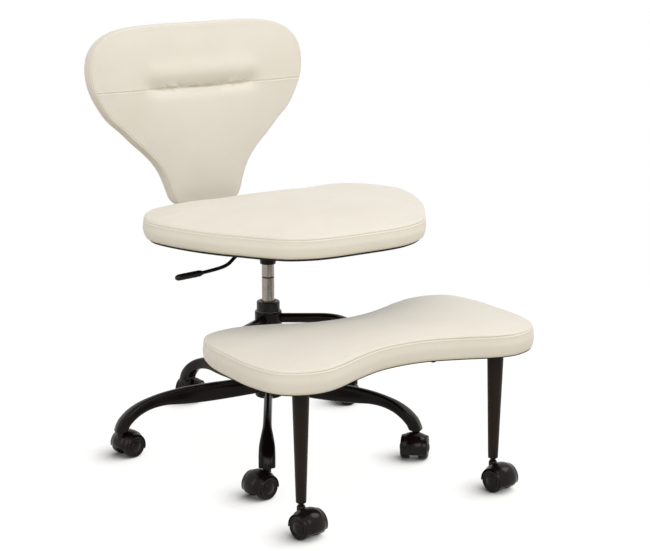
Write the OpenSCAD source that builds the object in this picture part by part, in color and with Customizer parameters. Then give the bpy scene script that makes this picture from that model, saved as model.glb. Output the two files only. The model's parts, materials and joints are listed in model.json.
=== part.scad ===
// Meditation chair: a wide seat on a gas lift with a mushroom backrest, and a
// peanut shaped footstool that swings round the same column on its own legs.
// Origin: on the floor under the column's axis. +Z is up and the chair faces -Y.

/* [Seat] */
// Width of the seat cushion at its wings
seat_w = 652; // [600:1:700]
// Column axis to the seat's front edge
seat_front = 388; // [360:1:400]
// Column axis to the seat's back edge
seat_back = 76; // [70:1:110]
// Height of the seat board's underside above the floor
seat_h = 510; // [505:1:530]
// Height of the cushion's side band below its seam
seat_band_h = 33; // [26:1:45]
// Rise of the crown above the seam
seat_crown_h = 28; // [12:1:34]

/* [Backrest] */
// Width of the backrest at its widest
back_w = 560; // [500:1:620]
// Height of the backrest along its lean
back_h = 425; // [400:1:450]
// Column axis to the front of the backrest board, at its lower end
back_y = 296; // [280:1:320]
// How far the backrest's lower end hangs below the seat board's underside
back_drop = 10; // [0:1:13]
// Backward lean in degrees
back_lean = 5; // [0:0.5:10]
// Thickness of the backrest's side band
back_band_h = 26; // [20:1:36]
// Rise of the backrest's crown
back_crown_h = 16; // [8:1:24]
// Depth of the tucked crease across the head of the backrest
crease_depth = 9; // [0:0.5:12]

/* [Footstool] */
// Width of the footstool cushion
stool_w = 675; // [620:1:720]
// Depth of the footstool cushion over its lobes
stool_d = 357; // [330:1:370]
// Column axis to the middle of the footstool
stool_y = 412; // [400:1:420]
// Height of the footstool board's underside
stool_h = 305; // [300:1:307]
// Height of the footstool cushion's side band
stool_band_h = 36; // [28:1:40]
// Rise of the footstool cushion's crown
stool_crown_h = 18; // [10:1:20]
// Footstool's side edges to the middle of its legs
leg_side_inset = 97.5; // [90:0.5:110]
// Footstool's front edge to the line of the legs
leg_front_inset = 73.5; // [70:0.5:85]
// Leg diameter at the top
leg_top_d = 35; // [30:1:40]
// Leg diameter at the foot
leg_foot_d = 21; // [19:1:26]

/* [Boards] */
// Thickness of the plywood boards
board_t = 12; // [9:0.5:15]
// Inset of a board from its cushion's edge
board_inset = 16; // [14:0.5:20]
// Gap between a cushion and its board
pad_gap = 0.3; // [0.2:0.05:0.5]

/* [Column] */
// Diameter of the steel cylinder that carries the seat
cylinder_d = 28; // [26:0.5:30]
// Diameter of the fixed gas lift tube
tube_d = 50; // [46:1:54]
// Diameter of the cap on the tube
cap_d = 52; // [50:1:56]
// Height of the cap's shoulder above the floor
cap_z = 308; // [306:1:309]
// Height of the cap
cap_h = 22; // [18:1:23]
// Height of the lower end of the seat's socket
socket_z = 416; // [413:1:425]
// How far the seat can drop from the photographed height
lift_down = 60; // [50:1:62]
// How far the seat can rise from the photographed height
lift_up = 40; // [20:1:50]
// Outer diameter of the footstool's sleeve
sleeve_d = 61; // [59:0.5:66]
// Wall of the footstool's sleeve
sleeve_wall = 2.4; // [2:0.1:3]
// Radial running clearance of every shaft in its bore
run_gap = 0.06; // [0.03:0.01:0.09]

/* [Star base] */
// Number of arms
arm_count = 5; // [5:1:5]
// Column axis to a caster's stem
star_r = 345; // [325:1:365]
// Direction of the first arm in degrees
star_turn = -122; // [-130:1:-114]
// Diameter of the hub
hub_d = 62; // [60:1:66]
// Height of the hub's lower rim above the floor
hub_z = 108; // [104:1:112]
// Height of the hub
hub_h = 56; // [52:1:58]
// Width of an arm along its straight stretch
arm_w = 18.5; // [16:0.5:22]
// Width of an arm at its foot
arm_foot_w = 36; // [30:1:40]
// Depth of an arm at its tallest
arm_h = 42; // [36:1:46]
// Height of an arm's foot above the floor
arm_foot_z = 61; // [61:0.5:64]

/* [Casters] */
// Wheel diameter
wheel_d = 51; // [48:1:53]
// Width of one wheel
wheel_w = 20; // [16:0.5:22]
// Width of the web between the two wheels
web_w = 18; // [14:0.5:20]
// Stem axis to axle
trail = 20; // [16:0.5:24]
// Stem diameter
stem_d = 11; // [10:0.5:12]
// Axle diameter
axle_d = 8; // [6:0.5:9]
// Height of the hood's top
hood_z = 59.5; // [58:0.5:60]

/* [Lever] */
// Diameter of the height lever's rod
lever_d = 8; // [6:0.5:9]
// Diameter of its grip
grip_d = 14; // [12:0.5:16]
// Length of its grip
grip_len = 66; // [50:1:80]

/* [Hidden] */
$fn = 64;
// One overrun for every cut
over = 1;
// Side clearance between a wheel and the web
wheel_gap = 1;
back_z = seat_h - back_drop;
leg_spacing = stool_w - 2 * leg_side_inset;
leg_y = stool_y + stool_d / 2 - leg_front_inset;

// Outlines: hand chosen shares of a half width, and of the depth before and
// behind the middle, from the front centre to the back centre
seat_shares = [
    [0, 1], [0.22, 0.998], [0.372, 0.975], [0.525, 0.91], [0.634, 0.805], [0.72, 0.70],
    [0.80, 0.605], [0.883, 0.475], [0.957, 0.315], [1, 0.15], [0.973, 0.045],
    [0.906, -0.30], [0.791, -0.69], [0.593, -0.872], [0.299, -0.93], [0, -1]
];
stool_shares = [
    [0, 0.623], [0.183, 0.663], [0.381, 0.80], [0.554, 0.945], [0.682, 0.998], [0.797, 0.961],
    [0.893, 0.857], [0.961, 0.67], [0.997, 0.334], [1, -0.006], [0.993, -0.413], [0.965, -0.673],
    [0.922, -0.867], [0.82, -0.972], [0.687, -0.999], [0.535, -0.926], [0.375, -0.797],
    [0.209, -0.692], [0, -0.642]
];
// The backrest's shares run from its foot to its top: half width and height
back_shares = [
    [0, 0], [0.19, 0.002], [0.275, 0.02], [0.315, 0.048], [0.337, 0.087], [0.38, 0.167],
    [0.435, 0.234], [0.52, 0.30], [0.63, 0.3675], [0.73, 0.435], [0.84, 0.502], [0.93, 0.594],
    [0.985, 0.681], [1, 0.774], [0.975, 0.856], [0.91, 0.9175], [0.79, 0.967], [0.64, 0.99],
    [0.40, 1], [0, 1]
];

// A smooth closed curve through points, as a uniform cubic through each four
function curve_at(a, b, c, d, t) =
    ((2 * b) + (c - a) * t + (2 * a - 5 * b + 4 * c - d) * t * t
    + (3 * b - a - 3 * c + d) * t * t * t) / 2;
function pick(list, i) = list[(i + len(list)) % len(list)];
function closed_curve(list, steps) = [
    for (i = [0:len(list) - 1]) for (k = [0:steps - 1])
        curve_at(pick(list, i - 1), list[i], pick(list, i + 1), pick(list, i + 2), k / steps)
];
// Mirrors a half outline that starts and ends on the centre line
function both_sides(half) = concat(half, [for (i = [len(half) - 2:-1:1]) [-half[i][0], half[i][1]]]);
function unit(v) = v / norm(v);
// Outward normal at a point of a closed curve, whose turn is 1 or -1
function normal_at(list, i, turn) =
    let (v = unit(pick(list, i + 1) - pick(list, i - 1))) [v[1], -v[0]] * turn;
function area_sign(list) =
    sign([for (i = [0:len(list) - 1]) cross(list[i], pick(list, i + 1))] * [for (p = list) 1]);
function inset(list, d) =
    let (turn = area_sign(list)) [for (i = [0:len(list) - 1]) list[i] - normal_at(list, i, turn) * d];

// The three outlines, in the plane of their cushion
outline_steps = 2;
seat_outline = closed_curve(both_sides(
    [for (s = seat_shares) [s[0] * seat_w / 2, -s[1] * (s[1] > 0 ? seat_front : seat_back)]]), outline_steps);
stool_outline = closed_curve(both_sides(
    [for (s = stool_shares) [s[0] * stool_w / 2, -stool_y - s[1] * stool_d / 2]]), outline_steps);
back_outline = closed_curve(both_sides(
    [for (s = back_shares) [s[0] * back_w / 2, s[1] * back_h]]), outline_steps);

// Cushion side: the cover wraps the board's edge and leaves this much of it bare
board_bare = 4;
edge_r = 6;
seam_tuck = 1.6;
side_bulge = 1.2;
// How far the lower edge of each cushion draws in
seat_draw_in = 11;
stool_draw_in = 5;
back_draw_in = 4;
// Crown rings: how far in from the seam, as shares of the way to the middle,
// and the share of the crown's rise that each has reached
crown_in_share = [0.04, 0.12, 0.25, 0.42, 0.62, 0.85];
crown_up_share = [0.37, 0.63, 0.81, 0.92, 0.98, 1];

// The tucked crease: a valley across the head of the backrest
crease_h_share = 0.655;
crease_w_share = 0.27;
crease_soft = 13;
function smooth_edge(x) = x < 0 ? 0 : x > 1 ? 1 : x * x * (3 - 2 * x);
function crease(p, amount) =
    let (across = 1 - smooth_edge((abs(p[0]) / back_w - crease_w_share + 0.06) / 0.12),
         away = (p[1] - crease_h_share * back_h) / crease_soft)
    amount * across * exp(-away * away);

function ring(list, d, z) = [for (p = inset(list, d)) [p[0], p[1], z]];
// middle: the point that the crown's rings close in on; tuck: crease depth
function crown_ring(list, middle, share, z, tuck) = [
    for (p = inset(list, edge_r))
        let (q = p + (middle - p) * share) [q[0], q[1], z - crease(q, tuck)]
];
function pad_rings(list, middle, band_h, crown_h, draw_in, tuck) =
    let (lip = board_t - board_bare, recess = board_inset - pad_gap) concat(
    [ring(list, recess, 0)],
    [ring(list, recess, -lip)],
    [ring(list, draw_in, -lip)],
    [ring(list, draw_in / 3, edge_r - lip)],
    [ring(list, 0, (band_h - lip) / 2)],
    [ring(list, side_bulge, (3 * band_h - lip) / 4)],
    [ring(list, side_bulge + seam_tuck, band_h)],
    [for (k = [0:len(crown_in_share) - 1])
        crown_ring(list, middle, crown_in_share[k], band_h + crown_h * crown_up_share[k], tuck)]
);

// A cushion: rings from the recess for its board up to the crown, closed at both ends
module pad(list, middle, band_h, crown_h, draw_in, tuck) {
    rings = pad_rings(list, middle, band_h, crown_h, draw_in, tuck);
    n = len(list);
    m = len(rings);
    flip = area_sign(list) > 0;
    points = concat([for (r = rings) for (p = r) p],
        [[middle[0], middle[1], 0]],
        [[middle[0], middle[1], band_h + crown_h - crease(middle, tuck)]]);
    sides = [for (j = [0:m - 2]) for (i = [0:n - 1])
        let (a = j * n + i, b = j * n + (i + 1) % n)
        each [[a, a + n, b], [b, a + n, b + n]]];
    floor_faces = [for (i = [0:n - 1]) [i, (i + 1) % n, m * n]];
    top_faces = [for (i = [0:n - 1]) [(m - 1) * n + (i + 1) % n, (m - 1) * n + i, m * n + 1]];
    faces = concat(sides, floor_faces, top_faces);
    polyhedron(points, flip ? faces : [for (f = faces) [f[0], f[2], f[1]]], convexity = 6);
}

module board(list) {
    linear_extrude(board_t)
        polygon(inset(list, board_inset));
}

// A round bar from one point to another
module bar(a, b, d) {
    v = b - a;
    translate(a)
        rotate([0, acos(v[2] / norm(v)), atan2(v[1], v[0])])
            cylinder(d = d, h = norm(v));
}

// A plate with round corners, centred, on z = 0
module rounded_plate(x, y, r, t) {
    linear_extrude(t) {
        square([x - 2 * r, y], center = true);
        square([x, y - 2 * r], center = true);
        for (sx = [-1, 1]) for (sy = [-1, 1])
            translate([sx * (x / 2 - r), sy * (y / 2 - r)])
                circle(r = r);
    }
}

// A tube on z, open at both ends
module tube(outer_d, inner_d, h) {
    difference() {
        cylinder(d = outer_d, h = h);
        translate([0, 0, -over])
            cylinder(d = inner_d, h = h + 2 * over);
    }
}

// A bolt under a face: washer flange, hexagon head below and shank above
bolt_d = 6;
bolt_head_d = 11;
bolt_head_h = 4;
washer_d = 14;
washer_t = 1.5;
module bolt_up(shank) {
    translate([0, 0, -washer_t]) {
        cylinder(d = washer_d, h = washer_t);
        cylinder(d = bolt_d, h = washer_t + shank);
        translate([0, 0, -bolt_head_h])
            cylinder(d = bolt_head_d, h = bolt_head_h, $fn = 6);
    }
}
bolt_hole_d = 1.1 * bolt_d;

// Star base
hub_top = hub_z + hub_h;
arm_mid_z = hub_z + hub_h / 2;
// An arm's sections: reach as a share of star_r, height as a share of the drop
// from the hub's middle to the foot, half depth as a share of arm_h, and how
// much of the widening from arm_w to arm_foot_w is reached
arm_shares = [
    [0.078, 0.00, 0.47, 0], [0.26, 0.05, 0.49, 0], [0.43, 0.085, 0.50, 0], [0.58, 0.115, 0.455, 0],
    [0.70, 0.15, 0.36, 0], [0.79, 0.235, 0.315, 0.04], [0.865, 0.365, 0.30, 0.18],
    [0.925, 0.54, 0.30, 0.52], [0.97, 0.745, 0.31, 0.88], [0.99, 0.90, 0.32, 1], [1, 1, 0.322, 1]
];
arm_sides = 16;
function arm_centre(s) = [s[0] * star_r, arm_mid_z + (arm_foot_z - arm_mid_z) * s[1]];
function arm_heading(i) =
    let (a = arm_centre(arm_shares[max(i - 1, 0)]),
         b = arm_centre(arm_shares[min(i + 1, len(arm_shares) - 1)]))
    i == len(arm_shares) - 1 ? -90 : i == 0 ? 0 : atan2(b[1] - a[1], b[0] - a[0]);
// A rounded box section, flatter at its sides than a circle
function soft(v) = sign(v) * pow(abs(v), 0.62);
function arm_section(i) =
    let (s = arm_shares[i], c = arm_centre(s), h = arm_heading(i),
         half_w = (arm_w + (arm_foot_w - arm_w) * s[3]) / 2, half_d = s[2] * arm_h)
    [for (k = [0:arm_sides - 1])
        let (t = (k + 0.5) * 360 / arm_sides, x = soft(sin(t)) * half_w, y = soft(cos(t)) * half_d)
        [c[0] - y * sin(h), x, c[1] + y * cos(h)]];
function between_sections(a, b, c, d, steps) = [
    for (k = [0:steps - 1]) [for (j = [0:len(b) - 1]) curve_at(a[j], b[j], c[j], d[j], k / steps)]
];
arm_steps = 2;
arm_rings = let (n = len(arm_shares) - 1, raw = [for (i = [0:n]) arm_section(i)]) concat(
    [for (i = [0:n - 1]) each between_sections(
        raw[max(i - 1, 0)], raw[i], raw[i + 1], raw[min(i + 2, n)], arm_steps)],
    [raw[n]]);

// The socket that holds a caster's stem, and the open pocket round it
socket_wall = 3;
socket_len = 26;
pocket_gap = 2.5;
pocket_depth = 9;
socket_d = stem_d + 2 * socket_wall;

module skin(rings) {
    n = len(rings[0]);
    m = len(rings);
    points = [for (r = rings) for (p = r) p];
    sides = [for (j = [0:m - 2]) for (i = [0:n - 1])
        let (a = j * n + i, b = j * n + (i + 1) % n)
        each [[a, b, a + n], [b, b + n, a + n]]];
    near_end = [[for (i = [n - 1:-1:0]) i]];
    far_end = [[for (i = [0:n - 1]) (m - 1) * n + i]];
    polyhedron(points, concat(sides, near_end, far_end), convexity = 4);
}

// Rings square to a line, for a round tube that follows it
function tube_rings(line, d, sides) = [
    for (i = [0:len(line) - 1])
        let (a = line[max(i - 1, 0)], b = line[min(i + 1, len(line) - 1)],
             along = unit(b - a), side = unit(cross(along, [0, 0, 1])), rise = cross(side, along))
        [for (k = [0:sides - 1])
            let (t = k * 360 / sides) line[i] + (side * cos(t) + rise * sin(t)) * d / 2]
];

function arm_angle(k) = star_turn + k * 360 / arm_count;
module star_arm(k) {
    color("#191614")
        rotate([0, 0, arm_angle(k)])
            difference() {
                skin(arm_rings);
                translate([0, 0, hub_z - over])
                    cylinder(d = hub_d, h = hub_h + 2 * over);
                translate([star_r, 0, 0]) {
                    cylinder(d = socket_d, h = arm_foot_z + socket_len);
                    cylinder(d = socket_d + 2 * pocket_gap, h = arm_foot_z + pocket_depth);
                }
            }
}

module star_hub() {
    rim = 2;
    color("#191614")
        difference() {
            union() {
                translate([0, 0, hub_z])
                    cylinder(d1 = hub_d - 2 * rim, d2 = hub_d, h = rim);
                translate([0, 0, hub_z + rim])
                    cylinder(d = hub_d, h = hub_h - 2 * rim);
                translate([0, 0, hub_top - rim])
                    cylinder(d1 = hub_d, d2 = hub_d - 2 * rim, h = rim);
            }
            translate([0, 0, hub_z - over])
                cylinder(d = tube_d, h = hub_h + 2 * over);
        }
}

module caster_sockets() {
    color("#2a2724")
        for (k = [0:arm_count - 1])
            rotate([0, 0, arm_angle(k)])
                translate([star_r, 0, arm_foot_z])
                    tube(socket_d, stem_d + 2 * run_gap, socket_len - over);
}

// Gas lift: fixed tube with its floor, cap, and the turning rod inside
tube_floor_t = 4;
tube_wall = 3;
rod_d = 8;
bearing_d = 24;
bearing_h = 10;
cylinder_wall = 3;
gland_h = 12;
piston_h = 10;
// Cylinder's top below the seat board's underside
cylinder_drop = 31;
cylinder_top = seat_h - cylinder_drop;
foot_clear = 4;
cylinder_foot = hub_z + tube_floor_t + bearing_h + lift_down + foot_clear;
piston_clear = 30;
rod_top = cylinder_foot + lift_up + gland_h + piston_h + piston_clear;

module gas_lift_tube() {
    color("#1c1918")
        difference() {
            translate([0, 0, hub_z])
                cylinder(d = tube_d, h = cap_z - hub_z);
            translate([0, 0, hub_z + tube_floor_t])
                cylinder(d = tube_d - 2 * tube_wall, h = cap_z - hub_z);
        }
}

module column_cap() {
    lip_w = 4;
    lip_h = 4;
    lip_drop = 2;
    round_r = 7;
    guide_h = 30;
    color("#171413")
        difference() {
            union() {
                translate([0, 0, cap_z])
                    rotate_extrude()
                        union() {
                            square([cap_d / 2, cap_h - round_r]);
                            square([cap_d / 2 - round_r, cap_h]);
                            translate([cap_d / 2 - round_r, cap_h - round_r])
                                circle(r = round_r);
                        }
                translate([0, 0, cap_z - guide_h])
                    cylinder(d = tube_d - 2 * tube_wall, h = guide_h);
            }
            translate([0, 0, cap_z - guide_h - over])
                cylinder(d = cylinder_d + 2 * run_gap, h = guide_h + cap_h + 2 * over);
            translate([0, 0, cap_z + cap_h - lip_drop])
                cylinder(d1 = cylinder_d, d2 = cylinder_d + 2 * lip_w, h = lip_h);
        }
}

module thrust_bearing() {
    color("#b9b6b0")
        translate([0, 0, hub_z + tube_floor_t])
            tube(bearing_d, rod_d, bearing_h);
}

module piston_rod() {
    color("#cfccc6") {
        translate([0, 0, hub_z + tube_floor_t])
            cylinder(d = rod_d, h = rod_top - hub_z - tube_floor_t);
        translate([0, 0, rod_top - piston_h])
            cylinder(d = cylinder_d - 2 * cylinder_wall - 2 * run_gap, h = piston_h);
    }
}

// The cylinder is a tube with a gland at its foot, a closed top and a thin
// groove for the retaining ring that shows between the cap and the socket
groove_up = 54;
groove_z = cap_z + cap_h + groove_up;
groove_w = 3;
groove_depth = 0.8;
module gas_cylinder() {
    color("#b7b1a9")
        difference() {
            translate([0, 0, cylinder_foot])
                cylinder(d = cylinder_d, h = cylinder_top - cylinder_foot);
            translate([0, 0, cylinder_foot + gland_h])
                cylinder(d = cylinder_d - 2 * cylinder_wall,
                    h = cylinder_top - cylinder_foot - 2 * gland_h);
            translate([0, 0, cylinder_foot - over])
                cylinder(d = rod_d + 2 * run_gap, h = gland_h + 2 * over);
            translate([0, 0, groove_z])
                tube(cylinder_d + 2 * over, cylinder_d - 2 * groove_depth, groove_w);
        }
}

// Footstool carrier: sleeve, bushes, washer and the forked arm
washer_gap = 0.2;
thrust_t = 3.6;
washer_inset = 3;
sleeve_foot = hub_top + thrust_t + 2 * washer_gap;
sleeve_h = cap_z - washer_gap - sleeve_foot;
bush_h = 25;
module thrust_washer() {
    color("#e4dfd2")
        translate([0, 0, hub_top])
            tube(hub_d - 2 * washer_inset, tube_d + 2 * run_gap, thrust_t);
}

module stool_sleeve() {
    chamfer = 3;
    color("#191614")
        difference() {
            union() {
                translate([0, 0, sleeve_foot])
                    cylinder(d = sleeve_d, h = sleeve_h - chamfer);
                translate([0, 0, sleeve_foot + sleeve_h - chamfer])
                    cylinder(d1 = sleeve_d, d2 = sleeve_d - 1.2 * chamfer, h = chamfer);
            }
            translate([0, 0, sleeve_foot - over])
                cylinder(d = sleeve_d - 2 * sleeve_wall, h = sleeve_h + 2 * over);
        }
}

module sleeve_bushes() {
    color("#d8d2c2")
        for (z = [sleeve_foot, sleeve_foot + sleeve_h - bush_h])
            translate([0, 0, z])
                tube(sleeve_d - 2 * sleeve_wall, tube_d + 2 * run_gap, bush_h);
}

// Each branch of the fork leaves the sleeve to one side, bends round to run
// forward under the board and ends in a flat plate bolted to it
fork_d = 22;
fork_turn = 57;
fork_reach = 117;
fork_bend_r = 60;
fork_plate_t = 3;
fork_plate_w = 44;
fork_plate_len = 110;
// Gap under the plate that the weld bar bridges
fork_weld_gap = 1;
fork_z = stool_h - fork_plate_t - fork_weld_gap - fork_d / 2;
fork_bend_start = [fork_reach * sin(fork_turn), -fork_reach * cos(fork_turn)];
fork_bend_mid = fork_bend_start - fork_bend_r * [cos(fork_turn), sin(fork_turn)];
fork_x = fork_bend_mid[0] + fork_bend_r;
fork_end_y = -stool_y - stool_d / 8;
fork_plate_y = fork_end_y + fork_plate_len / 2 - fork_d / 2;
fork_sides = 16;
fork_bend_steps = 7;
fork_line = concat(
    [[0, 0, fork_z]],
    [for (k = [0:fork_bend_steps])
        let (a = fork_turn * (1 - k / fork_bend_steps))
        [fork_bend_mid[0] + fork_bend_r * cos(a), fork_bend_mid[1] + fork_bend_r * sin(a), fork_z]],
    [[fork_x, fork_end_y, fork_z]]);
module fork_branch() {
    difference() {
        union() {
            skin(tube_rings(fork_line, fork_d, fork_sides));
            translate([fork_x, fork_plate_y, stool_h - fork_plate_t])
                rounded_plate(fork_plate_w, fork_plate_len, fork_plate_w / 6, fork_plate_t);
            // Weld bar between the tube and its plate
            translate([fork_x - fork_plate_t, fork_end_y + fork_plate_t, fork_z])
                cube([2 * fork_plate_t, fork_plate_len - fork_d,
                    fork_d / 2 + fork_weld_gap + fork_plate_t / 2]);
        }
        translate([0, 0, sleeve_foot - over])
            cylinder(d = sleeve_d, h = sleeve_h + 2 * over);
        for (p = fork_bolt_places)
            translate([p[0], p[1], stool_h - 2 * fork_plate_t])
                cylinder(d = bolt_hole_d, h = 4 * fork_plate_t);
    }
}
fork_bolt_places = [for (sx = [-1, 1]) for (sy = [-1, 1])
    [fork_x + sx * (fork_plate_w / 2 - bolt_d), fork_plate_y + sy * (fork_plate_len / 2 - 2 * bolt_d)]];
module stool_fork() {
    color("#191614") {
        fork_branch();
        mirror([1, 0, 0])
            fork_branch();
    }
}

module stool_board() {
    color("#161312")
        translate([0, 0, stool_h])
            difference() {
                board(stool_outline);
                for (side = [-1, 1]) {
                    for (p = fork_bolt_places)
                        translate([side * p[0], p[1], -over])
                            cylinder(d = bolt_hole_d, h = board_t / 2 + over);
                    for (p = leg_bolt_places)
                        translate([side * p[0], p[1], -over])
                            cylinder(d = bolt_hole_d, h = board_t / 2 + over);
                }
            }
}

stool_middle = [0, -stool_y];
module stool_pad() {
    color("#efe9dc")
        translate([0, 0, stool_h + board_t + pad_gap])
            pad(stool_outline, stool_middle, stool_band_h, stool_crown_h, stool_draw_in, 0);
}

module stool_bolts() {
    color("#3a3735")
        for (side = [-1, 1]) {
            for (p = fork_bolt_places)
                translate([side * p[0], p[1], stool_h - fork_plate_t])
                    bolt_up(fork_plate_t + board_t / 2);
            for (p = leg_bolt_places)
                translate([side * p[0], p[1], stool_h - leg_plate_t])
                    bolt_up(leg_plate_t + board_t / 2);
        }
}

// Legs: turned tapers under a round plate, with a bore for the caster's stem
leg_plate_t = 3;
leg_plate_d = 74;
leg_foot_z = 66;
leg_bore = 32;
leg_round = 4;
leg_bolt_r = 26;
leg_bolt_count = 3;
// The rearmost of the three plate bolts points back towards the column
leg_bolt_places = [for (k = [0:leg_bolt_count - 1])
    [leg_spacing / 2, -leg_y] + leg_bolt_r * [cos(90 + k * 360 / leg_bolt_count),
        sin(90 + k * 360 / leg_bolt_count)]];
leg_top_z = stool_h - leg_plate_t;
module leg_plates() {
    color("#201a17")
        for (side = [-1, 1])
            difference() {
                translate([side * leg_spacing / 2, -leg_y, leg_top_z])
                    cylinder(d = leg_plate_d, h = leg_plate_t);
                for (p = leg_bolt_places)
                    translate([side * p[0], p[1], leg_top_z - over])
                        cylinder(d = bolt_hole_d, h = leg_plate_t + 2 * over);
            }
}

module stool_leg(side) {
    color("#1d1613")
        translate([side * leg_spacing / 2, -leg_y, 0])
            difference() {
                rotate_extrude()
                    polygon(concat(
                        [[0, leg_foot_z]],
                        [for (a = [0:15:90]) [leg_foot_d / 2 - leg_round + leg_round * sin(a),
                            leg_foot_z + leg_round - leg_round * cos(a)]],
                        [[leg_top_d / 2, leg_top_z], [0, leg_top_z]]));
                translate([0, 0, leg_foot_z - over])
                    cylinder(d = stem_d + 2 * run_gap, h = leg_bore + over);
            }
}
module stool_leg_left() { stool_leg(1); }
module stool_leg_right() { stool_leg(-1); }

// Seat carrier: pressed plate with a deep box, a tapered socket and ribs
plate_x = 210;
plate_y = 200;
plate_t = 4;
plate_corner = 18;
box_x = 92;
box_y = 172;
box_h = 28;
box_wall = 3;
socket_top_d = 46;
socket_foot_d = 35;
slot_gap = 0.3;
lever_z_down = 17;
plate_z = seat_h - plate_t;
box_z = plate_z - box_h;
seat_bolt_places = [for (sx = [-1, 1]) for (sy = [-1, 1])
    [sx * (plate_x / 2 - plate_corner), sy * (plate_y / 2 - plate_corner)]];
module seat_plate() {
    rib_t = 3;
    color("#1b1817")
        difference() {
            union() {
                translate([0, 0, plate_z])
                    rounded_plate(plate_x, plate_y, plate_corner, plate_t);
                translate([0, 0, box_z])
                    difference() {
                        rounded_plate(box_x, box_y, 2 * box_wall, box_h);
                        translate([0, 0, box_wall])
                            rounded_plate(box_x - 2 * box_wall, box_y - 2 * box_wall, box_wall, box_h);
                    }
                translate([0, 0, socket_z])
                    cylinder(d1 = socket_foot_d, d2 = socket_top_d, h = box_z + box_wall - socket_z);
                // Stiffening ribs from the box out to the plate's edge
                for (side = [-1, 1]) {
                    translate([side * box_x / 2, 0, plate_z])
                        rotate([90, 0, 0])
                            linear_extrude(rib_t, center = true)
                                polygon([[0, 0], [side * (plate_x - box_x) / 2 - side * plate_corner / 2, 0],
                                    [0, -box_h * 3 / 4]]);
                }
            }
            translate([0, 0, socket_z - over])
                cylinder(d = cylinder_d, h = seat_h - socket_z);
            // Slot that the lever leaves by
            translate(lever_pivot)
                rotate([0, 0, lever_turn])
                    cube([4 * box_wall, lever_d + 2 * slot_gap, lever_d + 6 * slot_gap], center = true);
            for (p = seat_bolt_places)
                translate([p[0], p[1], plate_z - over])
                    cylinder(d = bolt_hole_d, h = plate_t + 2 * over);
            for (p = bracket_bolt_places)
                translate([0, p, box_z - over])
                    cylinder(d = bolt_hole_d, h = box_wall + 2 * over);
        }
}

module seat_board() {
    color("#161312")
        translate([0, 0, seat_h])
            difference() {
                board(seat_outline);
                for (p = seat_bolt_places)
                    translate([p[0], p[1], -over])
                        cylinder(d = bolt_hole_d, h = board_t / 2 + over);
            }
}

seat_middle = [0, (seat_back - seat_front) / 3];
module seat_pad() {
    color("#efe9dc")
        translate([0, 0, seat_h + board_t + pad_gap])
            pad(seat_outline, seat_middle, seat_band_h, seat_crown_h, seat_draw_in, 0);
}

module seat_bolts() {
    color("#3a3735")
        for (p = seat_bolt_places)
            translate([p[0], p[1], plate_z])
                bolt_up(plate_t + board_t / 2);
}

// Backrest bracket: one flat bar, level under the plate, bent up to the lean
bracket_w = 52;
bracket_t = 6;
bracket_bend_r = 20;
bracket_front_y = socket_top_d / 2 + bolt_d;
bracket_up = 190;
bracket_mid_z = box_z - bracket_t / 2;
bracket_behind = board_t + bracket_t / 2;
bend_up = 90 - back_lean;
// The level stretch ends where the bend meets the back of the board
bend_exit_z = bracket_mid_z + bracket_bend_r * (1 - cos(bend_up));
exit_run = (bend_exit_z - back_z + bracket_behind * sin(back_lean)) / cos(back_lean);
bracket_level_y = back_y + bracket_behind * cos(back_lean) + exit_run * sin(back_lean)
    - bracket_bend_r * sin(bend_up);
bracket_bolt_places = [bracket_front_y + 2 * bolt_d, box_y / 2 - 3 * bolt_d];
back_bolt_heights = [bracket_up * 0.45, bracket_up * 0.85];

module at_back() {
    translate([0, back_y, back_z])
        rotate([-back_lean, 0, 0])
            children();
}

// Side view of the bar: level stretch, bend and upright, as one outline
bend_steps = 10;
bend_centre = [bracket_level_y, bracket_mid_z + bracket_bend_r];
bend_end = bend_centre + bracket_bend_r * [sin(bend_up), -cos(bend_up)];
bracket_top = bend_end + (bracket_up - exit_run) * [cos(bend_up), sin(bend_up)];
function bend_arc(r) = [for (k = [0:bend_steps])
    bend_centre + r * [sin(bend_up * k / bend_steps), -cos(bend_up * k / bend_steps)]];
function turned(list) = [for (i = [len(list) - 1:-1:0]) list[i]];
bracket_half = bracket_t / 2 * [sin(bend_up), -cos(bend_up)];
bracket_side = concat(
    [[bracket_front_y, bracket_mid_z - bracket_t / 2]], bend_arc(bracket_bend_r + bracket_t / 2),
    [bracket_top + bracket_half, bracket_top - bracket_half],
    turned(bend_arc(bracket_bend_r - bracket_t / 2)), [[bracket_front_y, bracket_mid_z + bracket_t / 2]]);

module back_bracket() {
    color("#1b1817")
        difference() {
            translate([-bracket_w / 2, 0, 0])
                rotate([90, 0, 90])
                    linear_extrude(bracket_w)
                        polygon(bracket_side);
            for (side = [-1, 1])
                at_back()
                    translate([side * bracket_w / 2, board_t, bracket_up])
                        rotate([0, 45, 0])
                            cube([bracket_w / 3, 4 * bracket_t, bracket_w / 3], center = true);
            for (p = bracket_bolt_places)
                translate([0, p, box_z - bracket_t - over])
                    cylinder(d = bolt_hole_d, h = bracket_t + 2 * over);
            for (h = back_bolt_heights)
                at_back()
                    translate([0, board_t - over, h])
                        rotate([-90, 0, 0])
                            cylinder(d = bolt_hole_d, h = bracket_t + 2 * over);
        }
}

module bracket_bolts() {
    color("#3a3735") {
        for (p = bracket_bolt_places)
            translate([0, p, box_z - bracket_t])
                bolt_up(bracket_t + box_wall + 2 * bolt_d);
        for (h = back_bolt_heights)
            at_back()
                translate([0, board_t + bracket_t, h])
                    rotate([90, 0, 0])
                        bolt_up(bracket_t + board_t / 2);
    }
}

module back_board() {
    color("#161312")
        at_back()
            difference() {
                translate([0, board_t, 0])
                    rotate([90, 0, 0])
                        board(back_outline);
                for (h = back_bolt_heights)
                    translate([0, board_t / 2, h])
                        rotate([-90, 0, 0])
                            cylinder(d = bolt_hole_d, h = board_t / 2 + over);
            }
}

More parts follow.
